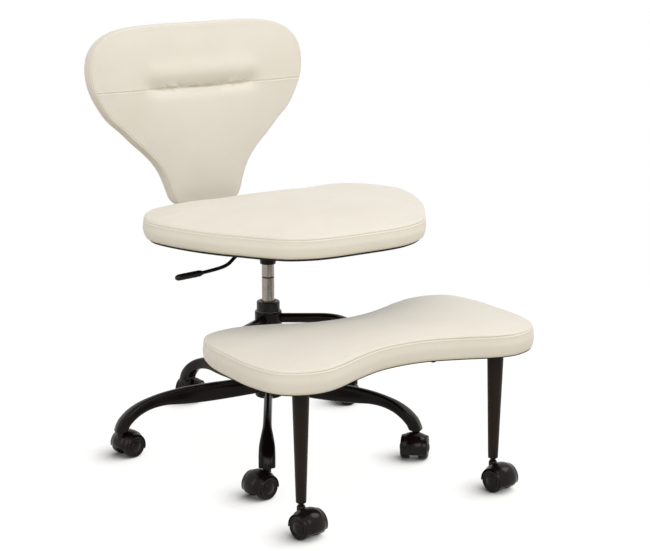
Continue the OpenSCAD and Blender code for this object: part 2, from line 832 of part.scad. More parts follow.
back_middle = [0, crease_h_share * back_h];
module back_pad() {
    color("#efe9dc")
        at_back()
            translate([0, -pad_gap, 0])
                rotate([90, 0, 0])
                    pad(back_outline, back_middle, back_band_h, back_crown_h, back_draw_in, crease_depth);
}

// Height lever: a bent rod that pivots in the box's slot, and its grip
lever_z = seat_h - plate_t - lever_z_down;
lever_turn = 30;
lever_way = [-cos(lever_turn), -sin(lever_turn), 0];
lever_out = (box_x - box_wall) / 2 / cos(lever_turn);
lever_in = socket_foot_d / 8;
lever_pivot = lever_way * lever_out + [0, 0, lever_z];
lever_root = lever_way * lever_in + [0, 0, lever_z];
// Places along the rod: away from the column to the side and ahead, and down from the pivot
knee_side = 124;
knee_ahead = 72;
knee_down = 27;
bend_side = 160;
bend_ahead = 86;
bend_down = 41;
grip_side = 222;
grip_ahead = 98;
grip_down = 45;
lever_knee = [-knee_side, -knee_ahead, lever_z - knee_down];
lever_bend = [-bend_side, -bend_ahead, lever_z - bend_down];
grip_start = [-grip_side, -grip_ahead, lever_z - grip_down];
grip_end = grip_start + grip_len * unit([-1, -0.06, -0.03]);
// How far the rod reaches into its grip
grip_hold_share = 0.4;
lever_sides = 12;
lever_steps = 3;
lever_path = [lever_root, lever_pivot, lever_knee, lever_bend, grip_start];
lever_end = grip_start + (grip_end - grip_start) * grip_hold_share;
function lever_point(i) = lever_path[max(0, min(i, len(lever_path) - 1))];
lever_line = concat(
    [for (i = [0:len(lever_path) - 2]) for (k = [0:lever_steps - 1])
        curve_at(lever_point(i - 1), lever_point(i), lever_point(i + 1), lever_point(i + 2), k / lever_steps)],
    [grip_start, lever_end]);
module lever_rod() {
    color("#1a1716")
        skin(tube_rings(lever_line, lever_d, lever_sides));
}
// Scallops along the grip's underside, as shares of its diameter
notch_count = 4;
notch_out_share = 0.72;
notch_start_share = 0.9;
notch_end_share = 1.6;
notch_size_share = 0.62;
module lever_grip() {
    v = grip_end - grip_start;
    color("#141211")
        difference() {
            translate(grip_start)
                rotate([0, acos(v[2] / norm(v)), atan2(v[1], v[0])])
                    difference() {
                        union() {
                            cylinder(d1 = lever_d + 2 * over, d2 = grip_d, h = grip_d / 2);
                            translate([0, 0, grip_d / 2])
                                cylinder(d = grip_d, h = grip_len - grip_d);
                            translate([0, 0, grip_len - grip_d / 2])
                                sphere(d = grip_d);
                        }
                        for (k = [0:notch_count - 1])
                            translate([grip_d * notch_out_share, 0, grip_d * notch_start_share
                                + k * (grip_len - notch_end_share * grip_d) / (notch_count - 1)])
                                rotate([90, 0, 0])
                                    cylinder(d = grip_d * notch_size_share, h = 2 * grip_d, center = true);
                    }
            bar(grip_start - unit(v) * over, lever_end, lever_d + 2 * run_gap);
        }
}

// Casters: places, height of the stem's top and the way each one trails
axle_z = wheel_d / 2;
wheel_in = web_w / 2 + wheel_gap;
canopy_gap = 1.8;
canopy_t = 2.4;
canopy_w = 2 * (wheel_in + wheel_w) - 2;
boss_d = 18;
collar_d = 15;
stem_foot_z = 42;
stem_in_arm = 22;
trail_turns = [192, -133, 160, 40, 12, -79, -79];
caster_places = concat(
    [for (k = [0:arm_count - 1]) [star_r * cos(arm_angle(k)), star_r * sin(arm_angle(k))]],
    [[-leg_spacing / 2, -leg_y], [leg_spacing / 2, -leg_y]]);
function stem_top(k) = k < arm_count ? arm_foot_z + stem_in_arm : leg_foot_z + leg_bore - over;

module at_caster(k) {
    translate(caster_places[k])
        rotate([0, 0, trail_turns[k]])
            children();
}

module caster_stem(k) {
    color("#8d8983")
        at_caster(k) {
            translate([0, 0, stem_foot_z])
                cylinder(d = stem_d, h = stem_top(k) - stem_foot_z);
            translate([0, 0, hood_z])
                cylinder(d = collar_d, h = over);
        }
}

// The hood: a web between the wheels, a boss for the stem and a canopy that
// follows the treads over the top and down the back
module caster_hood(k) {
    canopy_in = wheel_d / 2 + canopy_gap;
    canopy_out = canopy_in + canopy_t;
    color("#161413")
        at_caster(k)
            difference() {
                union() {
                    translate([trail, 0, axle_z])
                        rotate([90, 0, 0])
                            difference() {
                                cylinder(r = canopy_out, h = canopy_w, center = true);
                                cylinder(r = canopy_in, h = canopy_w + 2 * over, center = true);
                                // Open below the axle, and in front past the stem
                                translate([-2 * wheel_d, -2 * wheel_d + wheel_d * 0.16, -wheel_d])
                                    cube([4 * wheel_d, 2 * wheel_d, 2 * wheel_d]);
                            }
                    translate([trail, 0, axle_z])
                        rotate([90, 0, 0])
                            linear_extrude(web_w, center = true) {
                                circle(d = wheel_d * 0.56);
                                polygon([[-trail - boss_d / 2, hood_z - axle_z - canopy_t],
                                    [-trail - boss_d / 2, stem_foot_z - axle_z - canopy_t],
                                    [-wheel_d * 0.2, -wheel_d * 0.19], [wheel_d * 0.25, wheel_d * 0.1],
                                    [wheel_d * 0.36, wheel_d * 0.42], [0, canopy_in + canopy_t / 2],
                                    [-trail, hood_z - axle_z - canopy_t]]);
                            }
                    translate([0, 0, stem_foot_z - canopy_t])
                        cylinder(d = boss_d, h = hood_z - stem_foot_z);
                    translate([0, 0, hood_z - canopy_t])
                        cylinder(d1 = boss_d, d2 = collar_d, h = canopy_t);
                }
                translate([0, 0, stem_foot_z])
                    cylinder(d = stem_d, h = hood_z);
                translate([trail, 0, axle_z])
                    rotate([90, 0, 0])
                        cylinder(d = axle_d, h = 2 * wheel_d, center = true);
            }
}

module caster_axle(k) {
    color("#8d8983")
        at_caster(k)
            translate([trail, 0, axle_z])
                rotate([90, 0, 0])
                    cylinder(d = axle_d, h = 2 * (wheel_in + wheel_w * 0.85), center = true);
}

// One wheel on z, from its inner face out: tread with eased edges, ringed face
// and a shallow domed cap that closes the bore
module wheel() {
    r = wheel_d / 2;
    ease = 1.6;
    cap_rise = 3.6;
    cap_r_share = 0.46;
    difference() {
        union() {
            rotate_extrude()
                difference() {
                    polygon([[0, 0], [r - ease, 0], [r, ease], [r, wheel_w - 2 * ease],
                        [r - 2 * ease, wheel_w], [0, wheel_w]]);
                    translate([r * 0.66, wheel_w - ease])
                        square([r * 0.14, 2 * ease]);
                    translate([r * 0.52, wheel_w - ease * 0.7])
                        square([r * 0.07, 2 * ease]);
                }
            translate([0, 0, wheel_w])
                cylinder(r1 = r * cap_r_share, r2 = r * cap_r_share - cap_rise * 0.6, h = cap_rise * 0.5);
            translate([0, 0, wheel_w + cap_rise * 0.5])
                cylinder(r1 = r * cap_r_share - cap_rise * 0.6, r2 = r * 0.16, h = cap_rise * 0.5);
        }
        translate([0, 0, -over])
            cylinder(d = axle_d + 2 * run_gap, h = wheel_w * 0.9 + over);
    }
}

module caster_wheels(k) {
    color("#121010")
        at_caster(k)
            translate([trail, 0, axle_z])
                for (side = [-1, 1])
                    rotate([side * 90, 0, 0])
                        translate([0, 0, wheel_in])
                            wheel();
}

star_hub();
star_arm(0);  // star_arm_1
star_arm(1);  // star_arm_2
star_arm(2);  // star_arm_3
star_arm(3);  // star_arm_4
star_arm(4);  // star_arm_5
caster_sockets();
gas_lift_tube();
column_cap();
thrust_washer();
thrust_bearing();
piston_rod();
gas_cylinder();
seat_plate();
seat_board();
seat_pad();
seat_bolts();
back_bracket();
bracket_bolts();
back_board();
back_pad();
lever_rod();
lever_grip();
stool_sleeve();
sleeve_bushes();
stool_fork();
stool_board();
stool_pad();
stool_bolts();
leg_plates();
stool_leg_left();
stool_leg_right();
caster_stem(0);  // stem_1
caster_stem(1);  // stem_2
caster_stem(2);  // stem_3
caster_stem(3);  // stem_4
caster_stem(4);  // stem_5
caster_stem(5);  // stem_6
caster_stem(6);  // stem_7
caster_hood(0);  // hood_1
caster_hood(1);  // hood_2
caster_hood(2);  // hood_3
caster_hood(3);  // hood_4
caster_hood(4);  // hood_5
caster_hood(5);  // hood_6
caster_hood(6);  // hood_7
caster_axle(0);  // axle_1
caster_axle(1);  // axle_2
caster_axle(2);  // axle_3
caster_axle(3);  // axle_4
caster_axle(4);  // axle_5
caster_axle(5);  // axle_6
caster_axle(6);  // axle_7
caster_wheels(0);  // wheels_1
caster_wheels(1);  // wheels_2
caster_wheels(2);  // wheels_3
caster_wheels(3);  // wheels_4
caster_wheels(4);  // wheels_5
caster_wheels(5);  // wheels_6
caster_wheels(6);  // wheels_7
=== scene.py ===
# Dresses the meditation chair: cushions, smooth castings, casters, materials, light.
# Works in metres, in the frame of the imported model.
import json
import math
from contextlib import contextmanager

import bmesh
import bpy
import numpy as np
from mathutils import Matrix, Vector, noise
from mathutils.bvhtree import BVHTree
from mathutils.kdtree import KDTree


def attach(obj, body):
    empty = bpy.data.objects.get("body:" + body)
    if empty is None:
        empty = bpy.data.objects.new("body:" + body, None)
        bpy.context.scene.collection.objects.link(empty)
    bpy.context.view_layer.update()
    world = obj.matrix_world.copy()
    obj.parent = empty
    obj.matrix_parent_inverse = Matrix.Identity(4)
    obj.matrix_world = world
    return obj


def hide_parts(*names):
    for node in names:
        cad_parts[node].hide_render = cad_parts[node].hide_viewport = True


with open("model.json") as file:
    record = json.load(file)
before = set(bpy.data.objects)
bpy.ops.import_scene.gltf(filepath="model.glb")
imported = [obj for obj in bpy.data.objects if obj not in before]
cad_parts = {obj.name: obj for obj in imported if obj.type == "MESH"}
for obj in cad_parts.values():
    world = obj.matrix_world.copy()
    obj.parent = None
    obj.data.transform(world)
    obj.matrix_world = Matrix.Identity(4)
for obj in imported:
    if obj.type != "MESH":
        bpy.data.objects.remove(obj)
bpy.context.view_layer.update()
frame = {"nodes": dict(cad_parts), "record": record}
nodes = frame["nodes"]
scene = bpy.context.scene
mm = 0.001
print("frame loaded, nodes:", len(nodes))


def linked(name, data):
    obj = bpy.data.objects.new(name, data)
    scene.collection.objects.link(obj)
    return obj


def moved(x, y, z):
    return Matrix.Translation((x, y, z))


def turned(degrees, axis="Z"):
    return Matrix.Rotation(math.radians(degrees), 4, axis)


def turnsOf(count, start=0):
    # Angles once round a circle
    return [(k + start) * 2 * math.pi / count for k in range(count)]


def smoothStep(t):
    return t * t * (3 - 2 * t)


# Camera, at the photograph's place
view = {"place": (-2.0137, -3.3365, 1.3550), "look": (0.5278, 0.8127, -0.2470), "lens": 99.43,
        "shiftX": -0.0007, "shiftY": 0.0170}
camData = bpy.data.cameras.new("camera")
camData.lens = view["lens"]
camData.sensor_width = 36
camData.shift_x = view["shiftX"]
camData.shift_y = view["shiftY"]
camData.clip_end = 60
cam = linked("camera", camData)
cam.location = view["place"]
cam.rotation_euler = Vector(view["look"]).to_track_quat("-Z", "Y").to_euler()
scene.camera = cam
scene.view_settings.view_transform = "Standard"


# Mesh helpers
def newObject(name, verts, faces, smooth=True):
    mesh = bpy.data.meshes.new(name)
    mesh.from_pydata([tuple(v) for v in verts], [], [tuple(f) for f in faces])
    mesh.validate()
    mesh.polygons.foreach_set("use_smooth", [smooth] * len(mesh.polygons))
    mesh.update()
    return linked(name, mesh)


def evaluated(obj):
    graph = bpy.context.evaluated_depsgraph_get()
    graph.update()
    return bpy.data.meshes.new_from_object(obj.evaluated_get(graph), depsgraph=graph)


def bakeModifiers(obj):
    mesh = evaluated(obj)
    obj.modifiers.clear()
    old = obj.data
    obj.data = mesh
    bpy.data.meshes.remove(old)
    obj.data.polygons.foreach_set("use_smooth", [True] * len(obj.data.polygons))


def coords(mesh, what="co"):
    flat = np.empty(len(mesh.vertices) * 3)
    mesh.vertices.foreach_get(what, flat)
    return flat.reshape(-1, 3)


def setCoords(mesh, points):
    mesh.vertices.foreach_set("co", np.asarray(points).ravel())
    mesh.update()


@contextmanager
def edited(mesh):
    bm = bmesh.new()
    bm.from_mesh(mesh)
    yield bm
    bm.to_mesh(mesh)
    bm.free()


def sharpen(obj, degrees):
    # Smooth shading that breaks at edges steeper than this
    with edited(obj.data) as bm:
        for e in bm.edges:
            e.smooth = len(e.link_faces) == 2 and e.calc_face_angle(0) < math.radians(degrees)


def cleanNormals(mesh):
    with edited(mesh) as bm:
        bmesh.ops.remove_doubles(bm, verts=bm.verts, dist=1e-6)
        bmesh.ops.dissolve_degenerate(bm, edges=bm.edges, dist=1e-6)
        bmesh.ops.recalc_face_normals(bm, faces=bm.faces)
    mesh.polygons.foreach_set("use_smooth", [True] * len(mesh.polygons))
    mesh.update()


def rounded(points, radius, steps=4):
    # A flat line whose corners are rounded; radius is one value or one for each point
    pts = [Vector(p) for p in points]
    radii = radius if isinstance(radius, (list, tuple)) else [radius] * len(pts)
    out = [tuple(pts[0])]
    for i in range(1, len(pts) - 1):
        back, ahead = pts[i - 1] - pts[i], pts[i + 1] - pts[i]
        reach = min(radii[i], back.length * 0.48, ahead.length * 0.48)
        if reach < 1e-6:
            out.append(tuple(pts[i]))
            continue
        a, b = pts[i] + back.normalized() * reach, pts[i] + ahead.normalized() * reach
        for k in range(steps + 1):
            t = k / steps
            out.append(tuple(a * (1 - t) ** 2 + pts[i] * 2 * t * (1 - t) + b * t * t))
    out.append(tuple(pts[-1]))
    return out


def profileOf(points, radii, steps=4):
    # A profile given in millimetres
    return rounded([(r * mm, z * mm) for r, z in points], [q * mm for q in radii], steps)


def skinFaces(n, m, closed=False):
    # Quads between m rings of n points
    return [(j * n + k, j * n + (k + 1) % n, (j + 1) % m * n + (k + 1) % n, (j + 1) % m * n + k)
            for j in range(m if closed else m - 1) for k in range(n)]


def endFans(n, m):
    # Triangles to the two points that follow the rings
    return ([((k + 1) % n, k, m * n) for k in range(n)]
            + [((m - 1) * n + k, (m - 1) * n + (k + 1) % n, m * n + 1) for k in range(n)])


def turnedPiece(name, profile, sides, place=Matrix(), closed=False):
    # A profile of (radius, height) turned about Z, then put in place
    verts = [(r * math.cos(a), r * math.sin(a), z) for r, z in profile for a in turnsOf(sides)]
    mesh = bpy.data.meshes.new(name)
    mesh.from_pydata(verts, [], skinFaces(sides, len(profile), closed))
    cleanNormals(mesh)
    mesh.transform(place)
    return linked(name, mesh)


def lofted(name, rings, place=Matrix(), closed=False):
    # Rings of equal length joined to a skin, its ends closed by a fan
    n, m = len(rings[0]), len(rings)
    verts = [tuple(p) for ring in rings for p in ring]
    faces = skinFaces(n, m, closed)
    if not closed:
        verts += [tuple(np.mean(rings[0], axis=0)), tuple(np.mean(rings[-1], axis=0))]
        faces += endFans(n, m)
    obj = newObject(name, verts, faces)
    cleanNormals(obj.data)
    obj.data.transform(place)
    return obj


def tubeRings(line, radius, sides, closed=False, lumps=0.0, seed=0.0):
    # Rings square to a line; lumps roughens them, as on a weld bead
    line = np.array(line, float)
    n = len(line)
    rings = []
    for i in range(n):
        a = line[i - 1] if closed or i else line[i]
        b = line[(i + 1) % n] if closed or i < n - 1 else line[i]
        along = (b - a) / np.linalg.norm(b - a)
        side = np.cross(along, (0, 0, 1) if abs(along[2]) < 0.95 else (1, 0, 0))
        side /= np.linalg.norm(side)
        rise = np.cross(side, along)
        r = radius * (1 + lumps * noise.noise(Vector(line[i] * 420) + Vector((seed, 0, 0))))
        rings.append([line[i] + (side * math.cos(t) + rise * math.sin(t)) * r for t in turnsOf(sides)])
    return rings


bodyOf = {name: body for body, names in frame["record"]["behaviour"]["bodies"].items() for name in names}


def declare(obj, slotName, *stands, body=None):
    obj.data.materials.clear()
    obj.data.materials.append(materials[slotName])
    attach(obj, body or bodyOf[stands[0]])
    if stands:
        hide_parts(*stands)
    return obj


def eased(node, width, slotName):
    # A copy of a CAD solid with its sharp edges broken, as pressed and moulded parts have
    obj = linked(node + "_eased", nodes[node].data.copy())
    with edited(obj.data) as bm:
        bmesh.ops.remove_doubles(bm, verts=bm.verts, dist=2e-6)
        bmesh.ops.dissolve_limit(bm, angle_limit=math.radians(0.6), verts=bm.verts, edges=bm.edges)
    mod = obj.modifiers.new("ease", "BEVEL")
    mod.limit_method = "ANGLE"
    mod.angle_limit = math.radians(34)
    mod.width = width
    mod.segments = 3
    mod.use_clamp_overlap = True
    bakeModifiers(obj)
    sharpen(obj, 42)
    return declare(obj, slotName, node)


# Materials: each is a Principled shader with its own patterns on object coordinates
def nodeTree(name):
    mat = bpy.data.materials.new(name)
    mat.use_nodes = True
    tree = mat.node_tree
    bsdf = next(n for n in tree.nodes if n.type == "BSDF_PRINCIPLED")
    return mat, tree, bsdf


def setValues(node, **values):
    # Properties of the node, or else the values of its inputs
    for key, value in values.items():
        if hasattr(node, key):
            setattr(node, key, value)
        else:
            node.inputs[key.replace("_", " ")].default_value = value
    return node


def addNode(tree, kind, **values):
    return setValues(tree.nodes.new(kind), **values)


def mixShaders(tree, share, a, b):
    node = tree.nodes.new("ShaderNodeMixShader")
    if isinstance(share, float):
        node.inputs[0].default_value = share
    else:
        tree.links.new(share, node.inputs[0])
    tree.links.new(a.outputs[0], node.inputs[1])
    tree.links.new(b.outputs[0], node.inputs[2])
    return node


def noiseNode(tree, where, **values):
    node = addNode(tree, "ShaderNodeTexNoise", **values)
    tree.links.new(where, node.inputs["Vector"])
    return node


def ramp(tree, source, low, high, a, b):
    node = tree.nodes.new("ShaderNodeValToRGB")
    for stop, at, colour in zip(node.color_ramp.elements, (low, high), (a, b)):
        stop.position = at
        stop.color = colour if len(colour) == 4 else (*colour, 1)
    tree.links.new(source, node.inputs[0])
    return node.outputs[0]


def grey(v):
    return (v, v, v, 1)


def scaled(tree, source, scale):
    node = addNode(tree, "ShaderNodeMapping")
    node.inputs["Scale"].default_value = scale
    tree.links.new(source, node.inputs["Vector"])
    return node.outputs[0]


def blendColour(tree, factor, a, b, how="MIX"):
    node = tree.nodes.new("ShaderNodeMix")
    node.data_type = "RGBA"
    node.blend_type = how
    for socket, value in ((node.inputs[0], factor), (node.inputs[6], a), (node.inputs[7], b)):
        if isinstance(value, (tuple, float)):
            socket.default_value = value
        else:
            tree.links.new(value, socket)
    return node.outputs[2]


def bumps(tree, bsdf, layers):
    # layers: (height source, strength, distance), the first one lowest
    last = None
    for height, strength, distance in layers:
        node = addNode(tree, "ShaderNodeBump", Strength=strength, Distance=distance)
        tree.links.new(height, node.inputs["Height"])
        if last:
            tree.links.new(last, node.inputs["Normal"])
        last = node.outputs[0]
    tree.links.new(last, bsdf.inputs["Normal"])


def surfaceMaterial(name, look):
    # A base colour with dark mottling, fine grain, slow waves and edges worn lighter
    mat, tree, bsdf = nodeTree(name)
    where = addNode(tree, "ShaderNodeTexCoord").outputs["Object"]
    link = tree.links.new
    spot = scaled(tree, where, look.get("stretch", (1, 1, 1)))
    mottle = noiseNode(tree, where, Scale=look["mottle"], Detail=4.0, Roughness=0.55)
    fine = noiseNode(tree, spot, Scale=look["grainScale"], Detail=3.0, Roughness=0.6)
    colour = ramp(tree, mottle.outputs[0], 0.32, 0.7, look["dark"], look["base"])
    pointy = addNode(tree, "ShaderNodeNewGeometry").outputs["Pointiness"]
    edge = ramp(tree, pointy, 0.52, 0.62, grey(0), grey(look.get("wear", 0.5)))
    broken = blendColour(tree, 1.0, edge, ramp(tree, fine.outputs[0], 0.4, 0.62, grey(0.15), grey(1)), "MULTIPLY")
    colour = blendColour(tree, broken, colour, (*look["worn"], 1))
    link(colour, bsdf.inputs["Base Color"])
    low, high = look["rough"]
    link(ramp(tree, fine.outputs[0], 0.3, 0.72, grey(low), grey(high)), bsdf.inputs["Roughness"])
    setValues(bsdf, Metallic=look.get("metallic", 0), Specular_IOR_Level=look.get("specular", 0.5))
    waves = noiseNode(tree, where, Scale=look.get("waveScale", 40.0), Detail=2.0)
    bumps(tree, bsdf, [(waves.outputs[0], look.get("waveDepth", 0.05), 0.002),
                       (fine.outputs[0], look["grainDepth"], 0.0004)])
    return mat


def leatherMaterial(name, look):
    mat, tree, bsdf = nodeTree(name)
    link = tree.links.new
    where = addNode(tree, "ShaderNodeTexCoord").outputs["Object"]
    warp = noiseNode(tree, where, Scale=220.0, Detail=2.0)
    shifted = addNode(tree, "ShaderNodeVectorMath", operation="MULTIPLY_ADD")
    shifted.inputs[1].default_value = (0.0012, 0.0012, 0.0012)
    link(warp.outputs["Color"], shifted.inputs[0])
    link(where, shifted.inputs[2])
    cells = addNode(tree, "ShaderNodeTexVoronoi", feature="DISTANCE_TO_EDGE", Scale=look["cells"])
    link(shifted.outputs[0], cells.inputs["Vector"])
    pebble = ramp(tree, cells.outputs["Distance"], 0.0, 0.16, grey(0), grey(1))
    pores = noiseNode(tree, where, Scale=2600.0, Detail=2.0)
    soft = noiseNode(tree, where, Scale=9.0, Detail=3.0, Roughness=0.5)
    folds = noiseNode(tree, where, Scale=38.0, Detail=3.0, Roughness=0.55, Distortion=0.6)
    colour = ramp(tree, soft.outputs[0], 0.3, 0.7, look["dark"], look["base"])
    cracks = ramp(tree, cells.outputs["Distance"], 0.0, 0.09, grey(0.30), grey(0))
    colour = blendColour(tree, cracks, colour, (*look["crease"], 1))
    # Painted shade: concave places, such as the seams and the backrest's crease, are darkened towards the dark crack
    # colour
    pointy = addNode(tree, "ShaderNodeNewGeometry").outputs["Pointiness"]
    hollowShade = ramp(tree, pointy, 0.40, 0.49, grey(0.55), grey(0))
    colour = blendColour(tree, hollowShade, colour, (*look["crease"], 1))
    link(colour, bsdf.inputs["Base Color"])
    low, high = look["rough"]
    link(ramp(tree, folds.outputs[0], 0.3, 0.7, grey(low), grey(high)), bsdf.inputs["Roughness"])
    setValues(bsdf, Specular_IOR_Level=look["specular"], Sheen_Weight=0.06, Sheen_Roughness=0.4)
    bumps(tree, bsdf, [(folds.outputs[0], 0.16, 0.0016), (pebble, look["grain"], 0.00022),
                       (pores.outputs[0], 0.10, 0.0001)])
    return mat


looks = {
    # The leather's darkest colour serves both its grain cracks and the painted shade in its hollows
    "leather_cream": {"base": (0.855, 0.808, 0.718), "dark": (0.828, 0.777, 0.68), "crease": (0.66, 0.61, 0.49),
                      "cells": 760.0, "grain": 0.22, "rough": (0.46, 0.6), "specular": 0.34},
    "steel_black": {"base": (0.009, 0.0052, 0.0042), "dark": (0.0052, 0.003, 0.0025), "worn": (0.04, 0.028, 0.022),
                    "rough": (0.15, 0.25), "mottle": 14.0, "grainScale": 900.0, "grainDepth": 0.05, "specular": 0.13,
                    "wear": 0.35, "waveScale": 120.0, "waveDepth": 0.03},
    "steel_brushed": {"base": (0.38, 0.335, 0.305), "dark": (0.26, 0.23, 0.205), "worn": (0.52, 0.49, 0.46),
                      "rough": (0.2, 0.36), "mottle": 26.0, "grainScale": 46.0, "grainDepth": 0.1, "metallic": 1.0,
                      "stretch": (1, 1, 70), "wear": 0.4, "waveScale": 60.0, "waveDepth": 0.01},
    "steel_bright": {"base": (0.6, 0.58, 0.55), "dark": (0.47, 0.455, 0.43), "worn": (0.75, 0.73, 0.7),
                     "rough": (0.16, 0.3), "mottle": 60.0, "grainScale": 500.0, "grainDepth": 0.05, "metallic": 1.0},
    "zinc": {"base": (0.34, 0.335, 0.32), "dark": (0.2, 0.195, 0.185), "worn": (0.55, 0.54, 0.52),
             "rough": (0.3, 0.48), "mottle": 220.0, "grainScale": 900.0, "grainDepth": 0.08, "metallic": 1.0},
    "plastic_black": {"base": (0.009, 0.006, 0.0052), "dark": (0.0058, 0.004, 0.0034), "worn": (0.038, 0.029, 0.024),
                      "specular": 0.25, "rough": (0.26, 0.38), "mottle": 30.0, "grainScale": 2200.0, "grainDepth": 0.1,
                      "wear": 0.4},
    "nylon_black": {"base": (0.01, 0.0056, 0.0046), "dark": (0.006, 0.0034, 0.0028), "worn": (0.046, 0.033, 0.027),
                    "specular": 0.17, "rough": (0.14, 0.26), "mottle": 45.0, "grainScale": 1500.0, "grainDepth": 0.08,
                    "wear": 0.5},
    "nylon_natural": {"base": (0.7, 0.67, 0.58), "dark": (0.62, 0.58, 0.48), "worn": (0.78, 0.76, 0.7),
                      "rough": (0.34, 0.5), "mottle": 40.0, "grainScale": 1200.0, "grainDepth": 0.08},
    "board_black": {"base": (0.0125, 0.0105, 0.0095), "dark": (0.008, 0.0066, 0.006), "worn": (0.03, 0.026, 0.023),
                    "rough": (0.72, 0.92), "mottle": 25.0, "grainScale": 1400.0, "grainDepth": 0.45, "specular": 0.2},
    "leg_black": {"base": (0.0175, 0.0108, 0.0072), "dark": (0.011, 0.0066, 0.0044), "worn": (0.05, 0.034, 0.024),
                  "specular": 0.14, "rough": (0.34, 0.5), "mottle": 18.0, "grainScale": 380.0, "grainDepth": 0.14,
                  "stretch": (1, 1, 0.12), "wear": 0.3},
}
materials = {}
for slotName, look in looks.items():
    makeOne = leatherMaterial if slotName == "leather_cream" else surfaceMaterial
    materials[slotName] = makeOne(slotName + "_detail", look)
for name, obj in nodes.items():
    for place in obj.material_slots:
        base = place.material.name.split(".")[0] if place.material else ""
        if base in materials:
            place.material = materials[base]
print("materials made:", len(materials))


# Curves that the castings and cushions follow
def smoothCurve(points, steps, closed=True):
    pts = np.array(points, float)
    n = len(pts)
    out = []
    for i in range(n if closed else n - 1):
        if closed:
            a, b, c, d = pts[i - 1], pts[i], pts[(i + 1) % n], pts[(i + 2) % n]
        else:
            a, b, c, d = pts[max(i - 1, 0)], pts[i], pts[i + 1], pts[min(i + 2, n - 1)]
        for k in range(steps):
            t = k / steps
            square, cube = 2 * a - 5 * b + 4 * c - d, 3 * b - a - 3 * c + d
            out.append((2 * b + (c - a) * t + square * t * t + cube * t ** 3) / 2)
    if not closed:
        out.append(pts[-1])
    return np.array(out)


def evenly(points, count, closed=True):
    pts = np.vstack([points, points[:1]]) if closed else np.array(points)
    along = np.concatenate([[0], np.cumsum(np.linalg.norm(np.diff(pts, axis=0), axis=1))])
    at = np.linspace(0, along[-1], count + 1)[:-1] if closed else np.linspace(0, along[-1], count)
    return np.stack([np.interp(at, along, pts[:, k]) for k in range(pts.shape[1])], axis=1)


def bothSides(half):
    return half + [(-x, y) for x, y in half[-2:0:-1]]


def outwards(loop):
    ahead = np.roll(loop, -1, axis=0) - np.roll(loop, 1, axis=0)
    ahead /= np.linalg.norm(ahead, axis=1)[:, None]
    area = np.sum(loop[:, 0] * np.roll(loop[:, 1], -1) - np.roll(loop[:, 0], -1) * loop[:, 1])
    side = np.stack([ahead[:, 1], -ahead[:, 0]], axis=1)
    return side if area > 0 else -side


# Cushions
seatShares = [
    (0, 1), (0.22, 0.998), (0.372, 0.975), (0.525, 0.91), (0.634, 0.805), (0.72, 0.70),
    (0.80, 0.605), (0.883, 0.475), (0.957, 0.315), (1, 0.15), (0.973, 0.045),
    (0.906, -0.30), (0.791, -0.69), (0.593, -0.872), (0.299, -0.93), (0, -1)]
stoolShares = [
    (0, 0.623), (0.183, 0.663), (0.381, 0.80), (0.554, 0.945), (0.682, 0.998), (0.797, 0.961),
    (0.893, 0.857), (0.961, 0.67), (0.997, 0.334), (1, -0.006), (0.993, -0.413), (0.965, -0.673),
    (0.922, -0.867), (0.82, -0.972), (0.687, -0.999), (0.535, -0.926), (0.375, -0.797),
    (0.209, -0.692), (0, -0.642)]
backShares = [
    (0, 0), (0.19, 0.002), (0.275, 0.02), (0.315, 0.048), (0.337, 0.087), (0.38, 0.167),
    (0.435, 0.234), (0.52, 0.30), (0.63, 0.3675), (0.73, 0.435), (0.84, 0.502), (0.93, 0.594),
    (0.985, 0.681), (1, 0.774), (0.975, 0.856), (0.91, 0.9175), (0.79, 0.967), (0.64, 0.99),
    (0.40, 1), (0, 1)]

seatPad = {"name": "seat_cushion", "node": "seat_pad", "body": "seat", "z": 522.3 * mm, "band": 33 * mm,
           "shares": seatShares, "half": 326 * mm, "ahead": 388 * mm, "behind": 76 * mm, "middleY": 0,
           "crown": 28 * mm, "drawIn": 11 * mm, "around": 210, "puff": 6 * mm, "bandPuff": 1.5 * mm,
           "pressure": 4.0, "start": 0.84, "seed": 3.1}
stoolPad = {"name": "stool_cushion", "node": "stool_pad", "body": "stool", "z": 317.3 * mm, "band": 36 * mm,
            "shares": stoolShares, "half": 337.5 * mm, "ahead": 178.5 * mm, "behind": 178.5 * mm, "middleY": -412 * mm,
            "crown": 18 * mm, "drawIn": 5 * mm, "around": 220, "puff": 5 * mm, "bandPuff": 1.5 * mm,
            "pressure": 4.0, "start": 0.80, "seed": 7.7, "bandSeam": (-0.985, 0.30)}
backPad = {"name": "back_cushion", "node": "back_pad", "body": "seat", "z": 0.3 * mm, "band": 26 * mm,
           "shares": backShares, "half": 280 * mm, "ahead": -425 * mm, "behind": 0, "middleY": 0, "lean": 5,
           "crown": 16 * mm, "drawIn": 4 * mm, "around": 200, "puff": 5 * mm, "bandPuff": 1.2 * mm,
           "pressure": 4.0, "start": 0.80, "seed": 5.2, "creaseHeight": 278.4 * mm, "creaseHalf": 140 * mm,
           "creaseDepth": 11 * mm, "bolster": 5.5 * mm}
wrap = {"lip": 8 * mm, "recess": 15.7 * mm, "tuck": 1.6 * mm, "bulge": 1.2 * mm}
crownShares = (0.008, 0.02, 0.036, 0.058, 0.085, 0.12, 0.165, 0.22, 0.29, 0.37, 0.46, 0.56, 0.67, 0.78, 0.88, 0.955)
clothSet = {"quality": 4, "mass": 0.3, "tension_stiffness": 15, "compression_stiffness": 15, "shear_stiffness": 5,
            "bending_stiffness": 0.6, "use_pressure": True, "vertex_group_mass": "held"}
clothFrames = 20
seams = {"depth": 1.5 * mm, "width": 1.1 * mm, "lip": 0.5 * mm, "topAway": 6.5 * mm, "topDepth": 0.45 * mm,
         "topWidth": 0.8 * mm}


def flatRing(points, z):
    return np.column_stack([points, np.full(len(points), z)])


